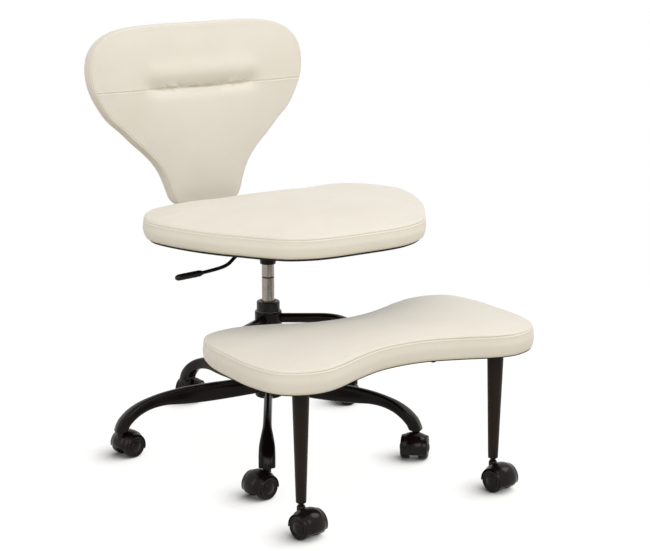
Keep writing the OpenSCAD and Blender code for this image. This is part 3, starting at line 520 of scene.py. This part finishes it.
def cushionRings(loop, middle, pad):
    # Rings of points from the recess for the board up to the crown, and which one is the seam
    side = outwards(loop)
    band, crown = pad["band"], pad["crown"] * pad["start"]
    lip, draw = wrap["lip"], pad["drawIn"]
    rings = []

    def ringAt(inset, z):
        rings.append(flatRing(loop - side * inset, z))

    ringAt(wrap["recess"], 0)
    ringAt(wrap["recess"], -lip + 1.2 * mm)
    ringAt(wrap["recess"] - 1.2 * mm, -lip)
    ringAt(draw + 2 * mm, -lip)
    belly = smoothCurve([(draw, -lip + 0.4 * mm), (draw / 3, -2 * mm), (0, (band - lip) / 2),
                         (wrap["bulge"], (3 * band - lip) / 4), (wrap["bulge"] + wrap["tuck"], band)], 4, closed=False)
    for inset, z in belly:
        ringAt(inset, z)
    seamRing = len(rings) - 1
    rim = loop - side * (wrap["bulge"] + wrap["tuck"])
    for share in crownShares:
        z = band + crown * (1 - (1 - share) ** 3) ** 0.42  # steep at the seam, then flat
        rings.append(flatRing(rim + (np.array(middle) - rim) * share, z))
    return rings, seamRing, band, crown


def cushionMesh(pad, loop, middle):
    rings, seamRing, band, crown = cushionRings(loop, middle, pad)
    n, m = len(loop), len(rings)
    verts = [tuple(p) for ring in rings for p in ring]
    verts += [(middle[0], middle[1], 0), (middle[0], middle[1], band + crown)]
    obj = newObject(pad["name"], verts, skinFaces(n, m) + endFans(n, m))
    with edited(obj.data) as bm:
        bmesh.ops.recalc_face_normals(bm, faces=bm.faces)
    return obj, [seamRing * n + i for i in range(n)]


def nearTree(points):
    tree = KDTree(len(points))
    for i, p in enumerate(points):
        tree.insert(p, i)
    tree.balance()
    return tree


def inflate(obj, pad, held):
    # Blows the cushion up as cloth and moves the fine mesh by what the cloth did
    copy = linked(pad["name"] + "_cloth", obj.data.copy())
    mod = copy.modifiers.new("voxels", "REMESH")
    mod.mode = "VOXEL"
    mod.voxel_size = 9 * mm
    bakeModifiers(copy)
    rest = coords(copy.data)
    heldTree = nearTree(held)
    group = copy.vertex_groups.new(name="held")
    for i, p in enumerate(rest):
        near = heldTree.find(p)[2]
        if p[2] < 4 * mm or near < 6 * mm:
            group.add([i], 1.0, "REPLACE")
    cloth = copy.modifiers.new("cloth", "CLOTH")
    for key, value in clothSet.items():
        setattr(cloth.settings, key, value)
    cloth.settings.uniform_pressure_force = pad["pressure"]
    cloth.settings.effector_weights.gravity = 0
    cloth.point_cache.frame_end = clothFrames
    for f in range(1, clothFrames + 1):
        scene.frame_set(f)
    blown = evaluated(copy)
    move = coords(blown) - rest
    scene.frame_set(1)
    length = np.linalg.norm(move, axis=1)
    print(pad["name"], "cloth points", len(rest), "largest move mm", round(float(length.max()) * 1000, 1))
    cap = np.where(rest[:, 2] < pad["band"], pad["bandPuff"], pad["puff"])
    move *= np.minimum(1, cap / np.maximum(length, 1e-9))[:, None]
    tree = nearTree(rest)
    points = coords(obj.data)
    for i, p in enumerate(points):
        if p[2] < 1 * mm:
            continue
        total, weight = np.zeros(3), 0.0
        for _, j, d in tree.find_n(p, 5):
            w = 1 / (d + 1 * mm) ** 2
            total += move[j] * w
            weight += w
        points[i] = p + total / weight
    setCoords(obj.data, points)
    bpy.data.objects.remove(copy)


def refineNear(obj, line, reach, cuts):
    # Splits the faces near a line, so that a seam has enough points
    tree = nearTree(line)
    with edited(obj.data) as bm:
        chosen = {e for f in bm.faces if tree.find(f.calc_center_median())[2] < reach for e in f.edges}
        bmesh.ops.subdivide_edges(bm, edges=list(chosen), cuts=cuts, use_grid_fill=True)


def sewSeam(obj, line, depth, width, lip, cuts=2, taper=0.0):
    # Pulls the leather in along a line and lets it swell on both sides; taper eases both ends
    line = np.array(line)
    length = float(np.sum(np.linalg.norm(np.diff(line, axis=0), axis=1)))
    dense = evenly(line, max(30, int(length / (1.2 * mm))), closed=False)
    refineNear(obj, dense, 4 * width, cuts)
    tree = nearTree(dense)
    ends = np.ones(len(dense))
    if taper:
        steps = np.arange(len(dense)) * length / len(dense)
        ends = smoothStep(np.clip(np.minimum(steps, length - steps) / taper, 0, 1))
    points, normals = coords(obj.data), coords(obj.data, "normal")
    for i, p in enumerate(points):
        _, j, d = tree.find(p)
        if d < 7 * width:
            push = lip * math.exp(-((d - 2.6 * width) / (1.5 * width)) ** 2) - depth * math.exp(-(d / width) ** 2)
            points[i] += normals[i] * push * ends[j]
    setCoords(obj.data, points)


def pucker(obj, line, height, reach, seed):
    # Small gathers that run away from a seam
    tree = nearTree(line)
    along = np.concatenate([[0], np.cumsum(np.linalg.norm(np.diff(line, axis=0), axis=1))])
    points, normals = coords(obj.data), coords(obj.data, "normal")
    for i, p in enumerate(points):
        _, j, d = tree.find(p)
        if d < 4 * reach:
            wave = noise.noise(Vector((along[j] / (9 * mm), seed, d / (60 * mm))))
            points[i] += normals[i] * (height * wave * math.exp(-d / reach) * min(1.0, d / (2 * mm)))
    setCoords(obj.data, points)


def surfaceTree(obj):
    faces = [tuple(f.vertices) for f in obj.data.polygons]
    return BVHTree.FromPolygons([tuple(p) for p in coords(obj.data)], faces)


def besideSeam(obj, line, middle, away):
    # The line of the topstitch: the seam moved inwards and laid on the crown
    tree = surfaceTree(obj)
    out = []
    for p in line:
        inwards = Vector((middle[0] - p[0], middle[1] - p[1], 0)).normalized()
        out.append(tuple(tree.find_nearest(Vector(p) + inwards * away * 0.62 + Vector((0, 0, away)))[0]))
    return np.array(out)


# Stitches along a line, made by Geometry Nodes
stitch = {"pitch": 4.6 * mm, "length": 3.0 * mm, "thick": 0.62 * mm}


def stitchTree():
    tree = bpy.data.node_groups.new("stitchesAlong", "GeometryNodeTree")
    face = tree.interface
    face.new_socket("Geometry", in_out="INPUT", socket_type="NodeSocketGeometry")
    for label in ("Pitch", "Length", "Thickness"):
        face.new_socket(label, in_out="INPUT", socket_type="NodeSocketFloat")
    face.new_socket("Thread", in_out="INPUT", socket_type="NodeSocketMaterial")
    face.new_socket("Geometry", in_out="OUTPUT", socket_type="NodeSocketGeometry")
    add, link = tree.nodes.new, tree.links.new
    given, made = add("NodeGroupInput"), add("NodeGroupOutput")
    toCurve = add("GeometryNodeMeshToCurve")
    spaced = add("GeometryNodeResampleCurve")
    spaced.mode = "LENGTH"
    bead = add("GeometryNodeMeshUVSphere")
    setValues(bead, Segments=8, Rings=5, Radius=0.5)
    tangent = add("GeometryNodeInputTangent")
    turn = add("FunctionNodeAlignRotationToVector")
    turn.axis = "X"
    place = add("GeometryNodeInstanceOnPoints")
    size = add("ShaderNodeCombineXYZ")
    real = add("GeometryNodeRealizeInstances")
    smooth = add("GeometryNodeSetShadeSmooth")
    thread = add("GeometryNodeSetMaterial")
    for source, target in (
            (given.outputs["Geometry"], toCurve.inputs[0]), (toCurve.outputs[0], spaced.inputs["Curve"]),
            (given.outputs["Pitch"], spaced.inputs["Length"]), (spaced.outputs[0], place.inputs["Points"]),
            (bead.outputs[0], place.inputs["Instance"]), (tangent.outputs[0], turn.inputs["Vector"]),
            (turn.outputs[0], place.inputs["Rotation"]), (given.outputs["Length"], size.inputs[0]),
            (given.outputs["Thickness"], size.inputs[1]), (given.outputs["Thickness"], size.inputs[2]),
            (size.outputs[0], place.inputs["Scale"]), (place.outputs[0], real.inputs[0]),
            (real.outputs[0], smooth.inputs[0]), (smooth.outputs[0], thread.inputs["Geometry"]),
            (given.outputs["Thread"], thread.inputs["Material"]), (thread.outputs[0], made.inputs[0])):
        link(source, target)
    return tree


stitchNodes = stitchTree()


def sewStitches(name, line, body):
    mesh = bpy.data.meshes.new(name)
    mesh.from_pydata([tuple(p) for p in line], [(i, i + 1) for i in range(len(line) - 1)], [])
    obj = linked(name, mesh)
    mod = obj.modifiers.new("stitches", "NODES")
    mod.node_group = stitchNodes
    ids = {s.name: s.identifier for s in stitchNodes.interface.items_tree if s.in_out == "INPUT"}
    for label, value in (("Pitch", stitch["pitch"]), ("Length", stitch["length"]),
                         ("Thickness", stitch["thick"]), ("Thread", materials["leather_cream"])):
        mod[ids[label]] = value
    bakeModifiers(obj)
    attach(obj, body)
    return obj


def flatLoop(pad, around):
    pts = [(x * pad["half"], pad["middleY"] - y * (pad["ahead"] if y > 0 else pad["behind"]))
           for x, y in bothSides(pad["shares"])]
    return evenly(smoothCurve(pts, 24), around)


def sewnCushion(pad, middle, place, extra=None):
    # One cushion from its outline: blown up, subdivided, sewn, and put in place
    loop = flatLoop(pad, pad["around"])
    obj, seam = cushionMesh(pad, loop, middle)
    inflate(obj, pad, coords(obj.data)[seam])
    line = coords(obj.data)[seam]
    mod = obj.modifiers.new("finer", "SUBSURF")
    mod.levels = mod.render_levels = 1
    bakeModifiers(obj)
    closed = np.vstack([line, line[:1]])
    if extra:
        extra(obj)
    pucker(obj, closed, 0.35 * mm, 16 * mm, pad["seed"])
    sewSeam(obj, closed, seams["depth"], seams["width"], seams["lip"])
    top = besideSeam(obj, closed, middle, seams["topAway"])
    sewSeam(obj, top, seams["topDepth"], seams["topWidth"], 0.12 * mm, cuts=1)
    tree = surfaceTree(obj)
    laid = []
    for p in top:
        spot, normal, _, _ = tree.find_nearest(Vector(p))
        laid.append(tuple(place @ (spot + normal * 0.05 * mm)))
    if pad.get("bandSeam"):
        x, y = pad["bandSeam"]
        away = (loop[:, 0] - x * pad["half"]) ** 2 + (loop[:, 1] - middle[1] - y * pad["ahead"]) ** 2
        spot = loop[np.argmin(away)]
        upright = [tree.find_nearest(Vector((spot[0], spot[1], z)))[0]
                   for z in np.linspace(-6 * mm, pad["band"], 24)]
        sewSeam(obj, [tuple(p) for p in upright], 1.0 * mm, 0.9 * mm, 0.3 * mm)
    obj.data.transform(place)
    obj.data.update()
    declare(obj, "leather_cream", pad["node"], body=pad["body"])
    sewStitches(pad["name"] + "_stitches", laid, pad["body"])
    print(pad["name"], "faces", len(obj.data.polygons))


def atBack():
    # The backrest's frame: x across, y up along the lean, z towards the sitter
    return (moved(0, 296 * mm, 500 * mm) @ turned(-backPad["lean"], "X") @ turned(90, "X")
            @ moved(0, 0, backPad["z"]))


def tuckHead(obj):
    # Deep over the middle, with the head bolster swelling above it, and a plain seam to both edges
    pad = backPad
    points = coords(obj.data)
    for i, p in enumerate(points):
        if p[2] < pad["band"] * 0.9:
            continue
        across = smoothStep(1 - np.clip((abs(p[0]) - pad["creaseHalf"] + 14 * mm) / (28 * mm), 0, 1))
        away = p[1] - pad["creaseHeight"]
        wide = 17 * mm if away > 0 else 13 * mm
        points[i][2] -= pad["creaseDepth"] * across * math.exp(-(abs(away) / wide) ** 1.5)
        points[i][2] += pad["bolster"] * across * math.exp(-((away - 34 * mm) / (24 * mm)) ** 2)
    setCoords(obj.data, points)
    tree = surfaceTree(obj)
    line = []
    for x in np.linspace(-272 * mm, 272 * mm, 180):
        hit = tree.ray_cast(Vector((x, pad["creaseHeight"], 0.2)), Vector((0, 0, -1)))[0]
        if hit is not None and hit[2] > pad["band"] * 0.6:
            line.append(tuple(hit))
    sewSeam(obj, line, 1.5 * mm, 1.1 * mm, 0.4 * mm)
    fold = [p for p in line if abs(p[0]) < pad["creaseHalf"] + 4 * mm]
    sewSeam(obj, fold, 4.5 * mm, 2.4 * mm, 0.7 * mm, cuts=1, taper=45 * mm)


seatPlace = moved(0, 0, seatPad["z"])
stoolPlace = moved(0, 0, stoolPad["z"])
sewnCushion(seatPad, (0, -104 * mm), seatPlace)
sewnCushion(stoolPad, (0, stoolPad["middleY"]), stoolPlace)
sewnCushion(backPad, (0, 228 * mm), atBack(), tuckHead)


# Black cloth strips that close the gap between each wrapped cover and its board
strip = {"edge": 0.5 * mm, "thick": 1.5 * mm, "inner": 23 * mm, "foot": 12.35 * mm, "below": 0.6 * mm}


def makeStrip(name, pad, around, place):
    loop = flatLoop(pad, around)
    side = outwards(loop)
    lip, foot = wrap["lip"], strip["foot"]
    edge = pad["drawIn"] + strip["edge"]
    points = [(edge, -lip - 0.05 * mm), (edge, -lip - strip["thick"]), (16.2 * mm, -foot - strip["below"]),
              (strip["inner"], -foot - strip["below"]), (strip["inner"], -foot), (15.8 * mm, -foot),
              (15.4 * mm, -lip - 0.6 * mm), (14.4 * mm, -lip - 0.05 * mm)]
    obj = lofted(name, [flatRing(loop - side * inset, z) for inset, z in points], place, closed=True)
    sharpen(obj, 50)
    declare(obj, "board_black", body=pad["body"])


makeStrip("seat_edge_strip", seatPad, 240, seatPlace)
makeStrip("stool_edge_strip", stoolPad, 260, stoolPlace)
makeStrip("back_edge_strip", backPad, 240, atBack())
print("cushions made")


# Star base: five cast arms that turn down into the casters' feet
arm = {"count": 5, "turn": -122, "reach": 345 * mm, "midZ": 136 * mm, "footZ": 61 * mm, "width": 18.5 * mm,
       "footWidth": 36 * mm, "height": 42 * mm, "sides": 48, "steps": 6, "squareness": 0.62,
       "pocket": 10.2 * mm, "pocketDepth": 5 * mm, "bore": 8.5 * mm, "boreDepth": 11.5 * mm}
armShares = [  # along the reach, down to the foot, half the depth, widening
    (0.078, 0, 0.47, 0), (0.26, 0.05, 0.49, 0), (0.43, 0.085, 0.5, 0), (0.58, 0.115, 0.455, 0),
    (0.7, 0.15, 0.36, 0), (0.79, 0.235, 0.315, 0.1), (0.865, 0.365, 0.3, 0.52),
    (0.925, 0.54, 0.3, 0.9), (0.97, 0.745, 0.31, 1), (0.99, 0.9, 0.32, 1), (1, 1, 0.322, 1)]


def soft(v):
    return math.copysign(abs(v) ** arm["squareness"], v)


def armSections():
    centres = [(s[0] * arm["reach"], arm["midZ"] + (arm["footZ"] - arm["midZ"]) * s[1]) for s in armShares]
    sections = []
    last = len(armShares) - 1
    for i, s in enumerate(armShares):
        a, b = centres[max(i - 1, 0)], centres[min(i + 1, last)]
        heading = -math.pi / 2 if i == last else 0 if i == 0 else math.atan2(b[1] - a[1], b[0] - a[0])
        halfW = (arm["width"] + (arm["footWidth"] - arm["width"]) * s[3]) / 2
        halfD = s[2] * arm["height"]
        ring = []
        for t in turnsOf(arm["sides"], 0.5):
            x, y = soft(math.sin(t)) * halfW, soft(math.cos(t)) * halfD
            ring.append((centres[i][0] - y * math.sin(heading), x, centres[i][1] + y * math.cos(heading)))
        sections.append(ring)
    return np.array(sections)


def makeArms():
    rings = list(smoothCurve(armSections(), arm["steps"], closed=False))
    foot = np.array(rings[-1])
    centre = np.array([arm["reach"], 0, arm["footZ"]])
    rings.append(centre + (foot - centre) * 0.93 + [0, 0, -0.4 * mm])
    pocket, deep = arm["pocket"], arm["pocketDepth"]
    rim = [(pocket + 0.8 * mm, -0.4 * mm), (pocket, 0.4 * mm), (pocket, deep - 0.8 * mm), (pocket - 0.8 * mm, deep),
           (arm["bore"] + 0.1 * mm, deep), (arm["bore"], arm["boreDepth"])]
    for r, z in rim:
        rings.append(np.array([centre + [r * math.cos(t), r * math.sin(t), z] for t in turnsOf(arm["sides"], 0.5)]))
    socket = profileOf([(5.56, 0.2), (8.45, 0.2), (8.45, 11), (5.56, 11), (5.56, 0.2)], [0, 0.6, 0, 0, 0], 3)
    for k in range(arm["count"]):
        turn = turned(arm["turn"] + 72 * k)
        obj = lofted("star_arm_%d_casting" % (k + 1), rings, turn)
        sharpen(obj, 50)
        declare(obj, "steel_black", "star_arm_%d" % (k + 1))
        around = []
        for t in turnsOf(72):
            y, z = soft(math.sin(t)) * 9.4 * mm, arm["midZ"] + soft(math.cos(t)) * 20.0 * mm
            around.append((math.sqrt((31.2 * mm) ** 2 - y * y), y, z))
        weld = tubeRings(around, 1.7 * mm, 10, closed=True, lumps=0.35, seed=k)
        declare(lofted("hub_weld_%d" % (k + 1), weld, turn, closed=True), "steel_black", body="base")
        place = turn @ moved(arm["reach"], 0, arm["footZ"])
        collar = turnedPiece("stem_socket_%d" % (k + 1), socket, 48, place, closed=True)
        declare(collar, "steel_black", *(["caster_sockets"] if k == 0 else []), body="base")


makeArms()
hubProfile = profileOf([(25, 108), (29.5, 108), (31, 110), (31, 162), (29.5, 164), (25, 164)], [1.6] * 6)
declare(turnedPiece("star_hub_ring", hubProfile, 96, closed=True), "steel_black", "star_hub")
print("star base made")


# Column: tube, cap, turning sleeve and the cylinder that carries the seat
# Each profile is in (radius, height) in mm, with the rounding of its corners
column = {
    "sides": 96, "clipHeight": 385.5 * mm,
    "tube": ([(0, 112), (22, 112), (22, 308), (25, 308), (25, 108), (0, 108)], [0.8] * 6),
    "cap": ([(14.06, 278), (22, 278), (22, 308), (26, 308), (26, 330), (17.6, 330), (14.06, 327), (14.06, 278)],
            [0, 0.6, 0, 0.8, 7, 1, 1.2, 0]),
    "sleeve": ([(28.1, 168), (30.5, 168), (30.5, 304.8), (28.7, 307.8), (28.1, 307.8), (28.1, 168)],
               [0, 0.8, 1.6, 0.3, 0.2, 0]),
    "cylinder": ([(0, 198), (4.06, 198), (4.06, 186), (14, 186), (14, 384), (13.2, 384), (13.2, 387), (14, 387),
                  (14, 479), (0, 479)], [0, 0, 0, 1, 0.2, 0, 0, 0.2, 0.8, 0])}


def makeColumn():
    for part, name, steps, closed, slotName, node in (
            ("tube", "lift_tube", 4, False, "steel_black", "gas_lift_tube"),
            ("cap", "lift_cap", 7, True, "plastic_black", "column_cap"),
            ("sleeve", "turning_sleeve", 5, True, "steel_black", "stool_sleeve"),
            ("cylinder", "seat_cylinder", 4, False, "steel_brushed", "gas_cylinder")):
        profile = profileOf(*column[part], steps)
        declare(turnedPiece(name, profile, column["sides"], closed=closed), slotName, node)
    clip = [(13.25 * mm + 0.72 * mm * math.cos(a), column["clipHeight"] + 1.3 * mm * math.sin(a))
            for a in np.linspace(0, 2 * math.pi, 13)[:-1]]
    declare(turnedPiece("retaining_ring", clip, 64, closed=True), "steel_black", body="seat")


makeColumn()
print("column made")


# Footstool's tapered legs
leg = {"x": 240 * mm, "y": -517 * mm, "foot": 10.5 * mm, "top": 17.5 * mm, "footZ": 66 * mm, "topZ": 302 * mm}


def makeLegs():
    profile = rounded([(0, 98 * mm), (5.56 * mm, 98 * mm), (5.56 * mm, leg["footZ"]), (leg["foot"], leg["footZ"]),
                       (leg["top"], leg["topZ"]), (0, leg["topZ"])], [0, 0, 0.4 * mm, 4 * mm, 0.8 * mm, 0], 7)
    for side, node in ((1, "stool_leg_left"), (-1, "stool_leg_right")):
        obj = turnedPiece(node + "_turned", profile, 72, moved(side * leg["x"], leg["y"], 0))
        sharpen(obj, 55)
        declare(obj, "leg_black", node)


makeLegs()


# Height lever: bent rod and notched grip
lever = {"rod": 4 * mm, "grip": 7 * mm, "gripLength": 66 * mm, "notches": 4, "hold": 0.4}


def makeLever():
    way = np.array([-math.cos(math.radians(30)), -0.5, 0])
    root, pivot = way * 4.375 * mm + [0, 0, 489 * mm], way * 51.384 * mm + [0, 0, 489 * mm]
    gripStart = np.array([-222, -98, 444]) * mm
    gripWay = np.array([-1, -0.06, -0.03]) / np.linalg.norm([-1, -0.06, -0.03])
    path = [root, pivot, np.array([-124, -72, 462]) * mm, np.array([-160, -86, 448]) * mm, gripStart]
    line = list(smoothCurve(path, 10, closed=False)) + [gripStart + gripWay * lever["gripLength"] * lever["hold"]]
    declare(lofted("lever_bar", tubeRings(line, lever["rod"], 24)), "steel_black", "lever_rod")
    length, fat = lever["gripLength"], lever["grip"]
    outline = rounded([(lever["rod"] + 0.06 * mm, 0), (lever["rod"] + 1 * mm, 0), (fat, fat), (fat, length - fat * 0.9),
                       (fat * 0.55, length), (0.2 * mm, length)], [0, 0.6 * mm, 5 * mm, 6 * mm, 4 * mm, 0], 10)
    along, radius = [z for r, z in outline[1:]], [r for r, z in outline[1:]]
    pitch = length - 1.6 * 2 * fat
    spots = [fat * 2 * 0.9 + k * pitch / (lever["notches"] - 1) for k in range(lever["notches"])]
    down = np.cross(gripWay, (0, 1, 0))
    down = down / np.linalg.norm(down) * (-1 if down[2] > 0 else 1)
    across = np.cross(gripWay, down)
    rings = []
    for z in np.linspace(0, length - 0.05 * mm, 150):
        r = float(np.interp(z, along, radius))
        ring = []
        for t in turnsOf(48):
            x, y = r * math.cos(t), r * math.sin(t)
            for spot in spots:
                deep = (4.34 * mm) ** 2 - (z - spot) ** 2
                if deep > 0:
                    x = min(x, 10.08 * mm - math.sqrt(deep))
            ring.append(gripStart + gripWay * z + down * x + across * y)
        rings.append(ring)
    grip = lofted("lever_handle", rings)
    sharpen(grip, 60)
    declare(grip, "plastic_black", "lever_grip")


makeLever()
print("legs and lever made")


# Casters: hooded twin wheels
caster = {"trail": 20 * mm, "radius": 25.5 * mm, "inner": 10 * mm,
          "turns": [192, -133, 160, 40, 12, -79, -79]}
wheelProfile = profileOf([
    (4.06, 18), (4.06, 0), (10, 0), (11, 1.2), (20.5, 1.2), (21.5, 0), (23.9, 0), (25.5, 1.6), (25.5, 16.8), (22.3, 20),
    (20.4, 20), (20.2, 18.4), (17.0, 18.4), (16.8, 20), (15.05, 20), (14.9, 18.9), (13.4, 18.9), (13.25, 20),
    (11.7, 20), (9.6, 21.8), (4.2, 23.5), (0, 23.6)],
    [0, 0.5, 0.4, 0.4, 0.4, 0.4, 1, 1.2, 1.8, 1.6, 0.5, 0.4, 0.4, 0.5, 0.4, 0.3, 0.3, 0.4, 0.6, 2, 1.6, 0], 3)
hood = {"from": 188, "to": -22, "web": 9 * mm, "rim": 26.2 * mm, "steps": 44,
        "outer": [(0, 33.8), (8, 33.5), (13, 32.7), (17, 31.4), (20, 30.0), (23, 28.8), (26.5, 27.9), (28.8, 27.2),
                  (29.4, 26.6)],
        "inner": [(28.9, 26.2), (27, 26.3), (24, 26.5), (19, 27.0), (12, 27.2), (0, 27.2)]}


def shellRings():
    # The hood's curved back: from the stem over the wheels and down the trailing side
    half = [(y * mm, r * mm) for y, r in hood["outer"]]
    under = [(y * mm, r * mm) for y, r in hood["inner"]][:-1]
    across = half + under + [(-y, r) for y, r in under[::-1] + half[:0:-1]]
    rings = []
    steps, rim = hood["steps"], hood["rim"]
    for j in range(steps + 1):
        share = j / steps
        a = math.radians(hood["from"] + (hood["to"] - hood["from"]) * share)
        ease = 1 - 0.6 * max(0.0, 1 - min(share, 1 - share) * steps / 2.5) ** 2
        reach = [(y, rim + (r - rim) * ease) for y, r in across]
        rings.append([(r * math.cos(a), y, r * math.sin(a)) for y, r in reach])
    return rings


def makeHood(k, spot):
    # Web between the wheels, boss round the stem, and shell, with the stem itself
    outline = rounded([(-29.2, 3), (-28.5, -3.5), (-13, -8), (0, -11.5), (13, -10.4), (27.9, -8.6), (29.2, 3),
                       (26.6, 12.4), (19.8, 21.8), (10, 27.7), (0, 29.4), (-10, 27.7), (-19.8, 21.8), (-26.6, 12.4),
                       (-29.2, 3)], 1.6, 3)[1:]
    rings = []
    half = hood["web"]
    for y, grow in ((-half, -0.9), (-half + 0.3 * mm, -0.3), (-half + 0.9 * mm, 0), (half - 0.9 * mm, 0),
                    (half - 0.3 * mm, -0.3), (half, -0.9)):
        flat = np.array(outline) * mm
        flat = flat + outwards(flat) * grow * mm
        rings.append(np.column_stack([flat[:, 0], np.full(len(flat), y), flat[:, 1]]))
    web = lofted("hood_%d_web" % k, rings)
    sharpen(web, 50)
    web.data.transform(spot)
    declare(web, "nylon_black", "hood_%d" % k)
    atStem = spot @ moved(-caster["trail"], 0, -caster["radius"])
    boss = profileOf([(5.55, 39.6), (9, 39.6), (9, 57.1), (7.5, 59.4), (5.55, 59.4), (5.55, 39.6)],
                     [0, 1, 1.5, 0.8, 0, 0], 3)
    one = turnedPiece("hood_%d_boss" % k, boss, 48, atStem, closed=True)
    declare(one, "nylon_black", body="caster_%d" % k)
    shell = lofted("hood_%d_shell" % k, shellRings(), spot)
    sharpen(shell, 50)
    declare(shell, "nylon_black", body="caster_%d" % k)
    top = 72 if k <= arm["count"] else 96  # the legs' sockets are deeper
    stem = profileOf([(0, 42), (5.5, 42), (5.5, 59.5), (7.5, 59.5), (7.5, 60.5), (5.5, 60.5), (5.5, top), (0, top)],
                     [0, 0.4, 0, 0.3, 0.3, 0, 0.8, 0], 2)
    pin = turnedPiece("stem_%d_turned" % k, stem, 40, atStem)
    sharpen(pin, 50)
    declare(pin, "steel_black", "stem_%d" % k)


def makeWheels():
    ways = [math.radians(arm["turn"] + 72 * k) for k in range(arm["count"])]
    places = [(arm["reach"] * math.cos(a), arm["reach"] * math.sin(a)) for a in ways]
    places += [(-leg["x"], leg["y"]), (leg["x"], leg["y"])]
    for k, (x, y) in enumerate(places):
        spot = moved(x, y, 0) @ turned(caster["turns"][k]) @ moved(caster["trail"], 0, caster["radius"])
        for side, letter, stands in ((-1, "a", ["wheels_%d" % (k + 1)]), (1, "b", [])):
            place = spot @ turned(90 * side, "X") @ moved(0, 0, caster["inner"])
            wheel = turnedPiece("wheel_%d_%s" % (k + 1, letter), wheelProfile + [(0, 18 * mm)], 88, place)
            sharpen(wheel, 48)
            declare(wheel, "nylon_black", *stands, body="wheel_%d" % (k + 1))
        makeHood(k + 1, spot)


makeWheels()
print("casters made")

# Pressed and bolted parts keep their solids, with their edges broken
for node, width, slotName in (("seat_plate", 0.8, "steel_black"), ("back_bracket", 1.0, "steel_black"),
                              ("stool_fork", 0.9, "steel_black"), ("leg_plates", 0.6, "steel_black"),
                              ("seat_board", 1.5, "board_black"), ("back_board", 1.5, "board_black"),
                              ("stool_board", 1.5, "board_black"), ("seat_bolts", 0.4, "zinc"),
                              ("bracket_bolts", 0.4, "zinc"), ("stool_bolts", 0.4, "zinc")):
    eased(node, width * mm, slotName)
print("pressed parts eased")


# Floor, backdrop and light
# Stage values include the floor's painted contact shadows: their share, reach, darkness and the side they lean to
stage = {"paintedShadowShare": 0.80, "glow": 1.2, "bounce": (0.50, 0.455, 0.37), "paintedShadowReach": 0.075, "paintedShadowDark": 0.02,
         "paintedShadowSide": (0.63, -0.41, 0.66), "fadeFrom": 0.9, "fadeTo": 1.7, "sky": 0.60,
         "aim": (0, -0.1, 0.45)}


def seenRays(tree):
    # 1 for rays that see the backdrop directly, or in a gloss
    rays = addNode(tree, "ShaderNodeLightPath")
    seen = rays.outputs["Is Camera Ray"]
    for kind in ("Is Glossy Ray", "Is Transmission Ray"):
        either = addNode(tree, "ShaderNodeMath", operation="MAXIMUM")
        tree.links.new(seen, either.inputs[0])
        tree.links.new(rays.outputs[kind], either.inputs[1])
        seen = either.outputs[0]
    return seen


def makeStage():
    # The floor is lit near the chair, carries painted contact shadows there, and fades to plain white further out
    floor = newObject("floor", [(-9, -9, 0), (9, -9, 0), (9, 9, 0), (-9, 9, 0)], [(0, 1, 2, 3)], smooth=False)
    mat, tree, bsdf = nodeTree("floor_white")
    link = tree.links.new
    setValues(bsdf, Base_Color=(*stage["bounce"], 1), Roughness=0.85, Specular_IOR_Level=0.1)
    white = addNode(tree, "ShaderNodeEmission", Color=(1, 1, 1, 1), Strength=1.0)
    # Painted contact shadows: an occlusion shader, its normal leaned to one side, darkens the floor's emission beside
    # each caster and leg
    paintedShadow = addNode(tree, "ShaderNodeAmbientOcclusion", Distance=stage["paintedShadowReach"])
    paintedShadow.samples = 8
    side = addNode(tree, "ShaderNodeCombineXYZ")
    for i in range(3):
        side.inputs[i].default_value = stage["paintedShadowSide"][i]
    link(side.outputs[0], paintedShadow.inputs["Normal"])
    shadowPaintedGlow = addNode(tree, "ShaderNodeEmission", Strength=stage["glow"])
    link(ramp(tree, paintedShadow.outputs["AO"], 0.30, 0.92, grey(stage["paintedShadowDark"]), grey(1)), shadowPaintedGlow.inputs["Color"])
    near = mixShaders(tree, stage["paintedShadowShare"], bsdf, shadowPaintedGlow)
    far = addNode(tree, "ShaderNodeVectorMath", operation="LENGTH")
    link(addNode(tree, "ShaderNodeTexCoord").outputs["Object"], far.inputs[0])
    fade = addNode(tree, "ShaderNodeMapRange", interpolation_type="SMOOTHSTEP", From_Min=stage["fadeFrom"],
                   From_Max=stage["fadeTo"])
    link(far.outputs["Value"], fade.inputs["Value"])
    shown = mixShaders(tree, fade.outputs[0], near, white)
    pick = mixShaders(tree, seenRays(tree), bsdf, shown)
    out = next(n for n in tree.nodes if n.type == "OUTPUT_MATERIAL")
    link(pick.outputs[0], out.inputs["Surface"])
    floor.data.materials.append(mat)

    world = bpy.data.worlds.new("studio")
    scene.world = world
    world.use_nodes = True
    tree = world.node_tree
    tree.nodes.clear()
    out = tree.nodes.new("ShaderNodeOutputWorld")
    seen = addNode(tree, "ShaderNodeBackground", Color=(1, 1, 1, 1), Strength=1.0)
    lit = addNode(tree, "ShaderNodeBackground", Color=(1.0, 0.995, 0.985, 1), Strength=stage["sky"])
    pick = mixShaders(tree, seenRays(tree), lit, seen)
    tree.links.new(pick.outputs[0], out.inputs[0])


def softbox(name, place, size, power, tint=(1, 1, 1)):
    data = bpy.data.lights.new(name, "AREA")
    data.shape = "RECTANGLE"
    data.size, data.size_y = size
    data.energy = power
    data.color = tint
    obj = linked(name, data)
    obj.location = place
    obj.rotation_euler = (Vector(stage["aim"]) - Vector(place)).to_track_quat("-Z", "Y").to_euler()


makeStage()
softbox("key", (2.9, -1.2, 3.8), (2.1, 2.1), 54, (1.0, 0.997, 0.985))
softbox("front", (-1.7, -5.0, 3.9), (4.4, 3.2), 130, (1.0, 0.997, 0.985))
softbox("left", (-2.8, 0.4, 1.6), (1.0, 2.2), 10)
print("stage and light made")
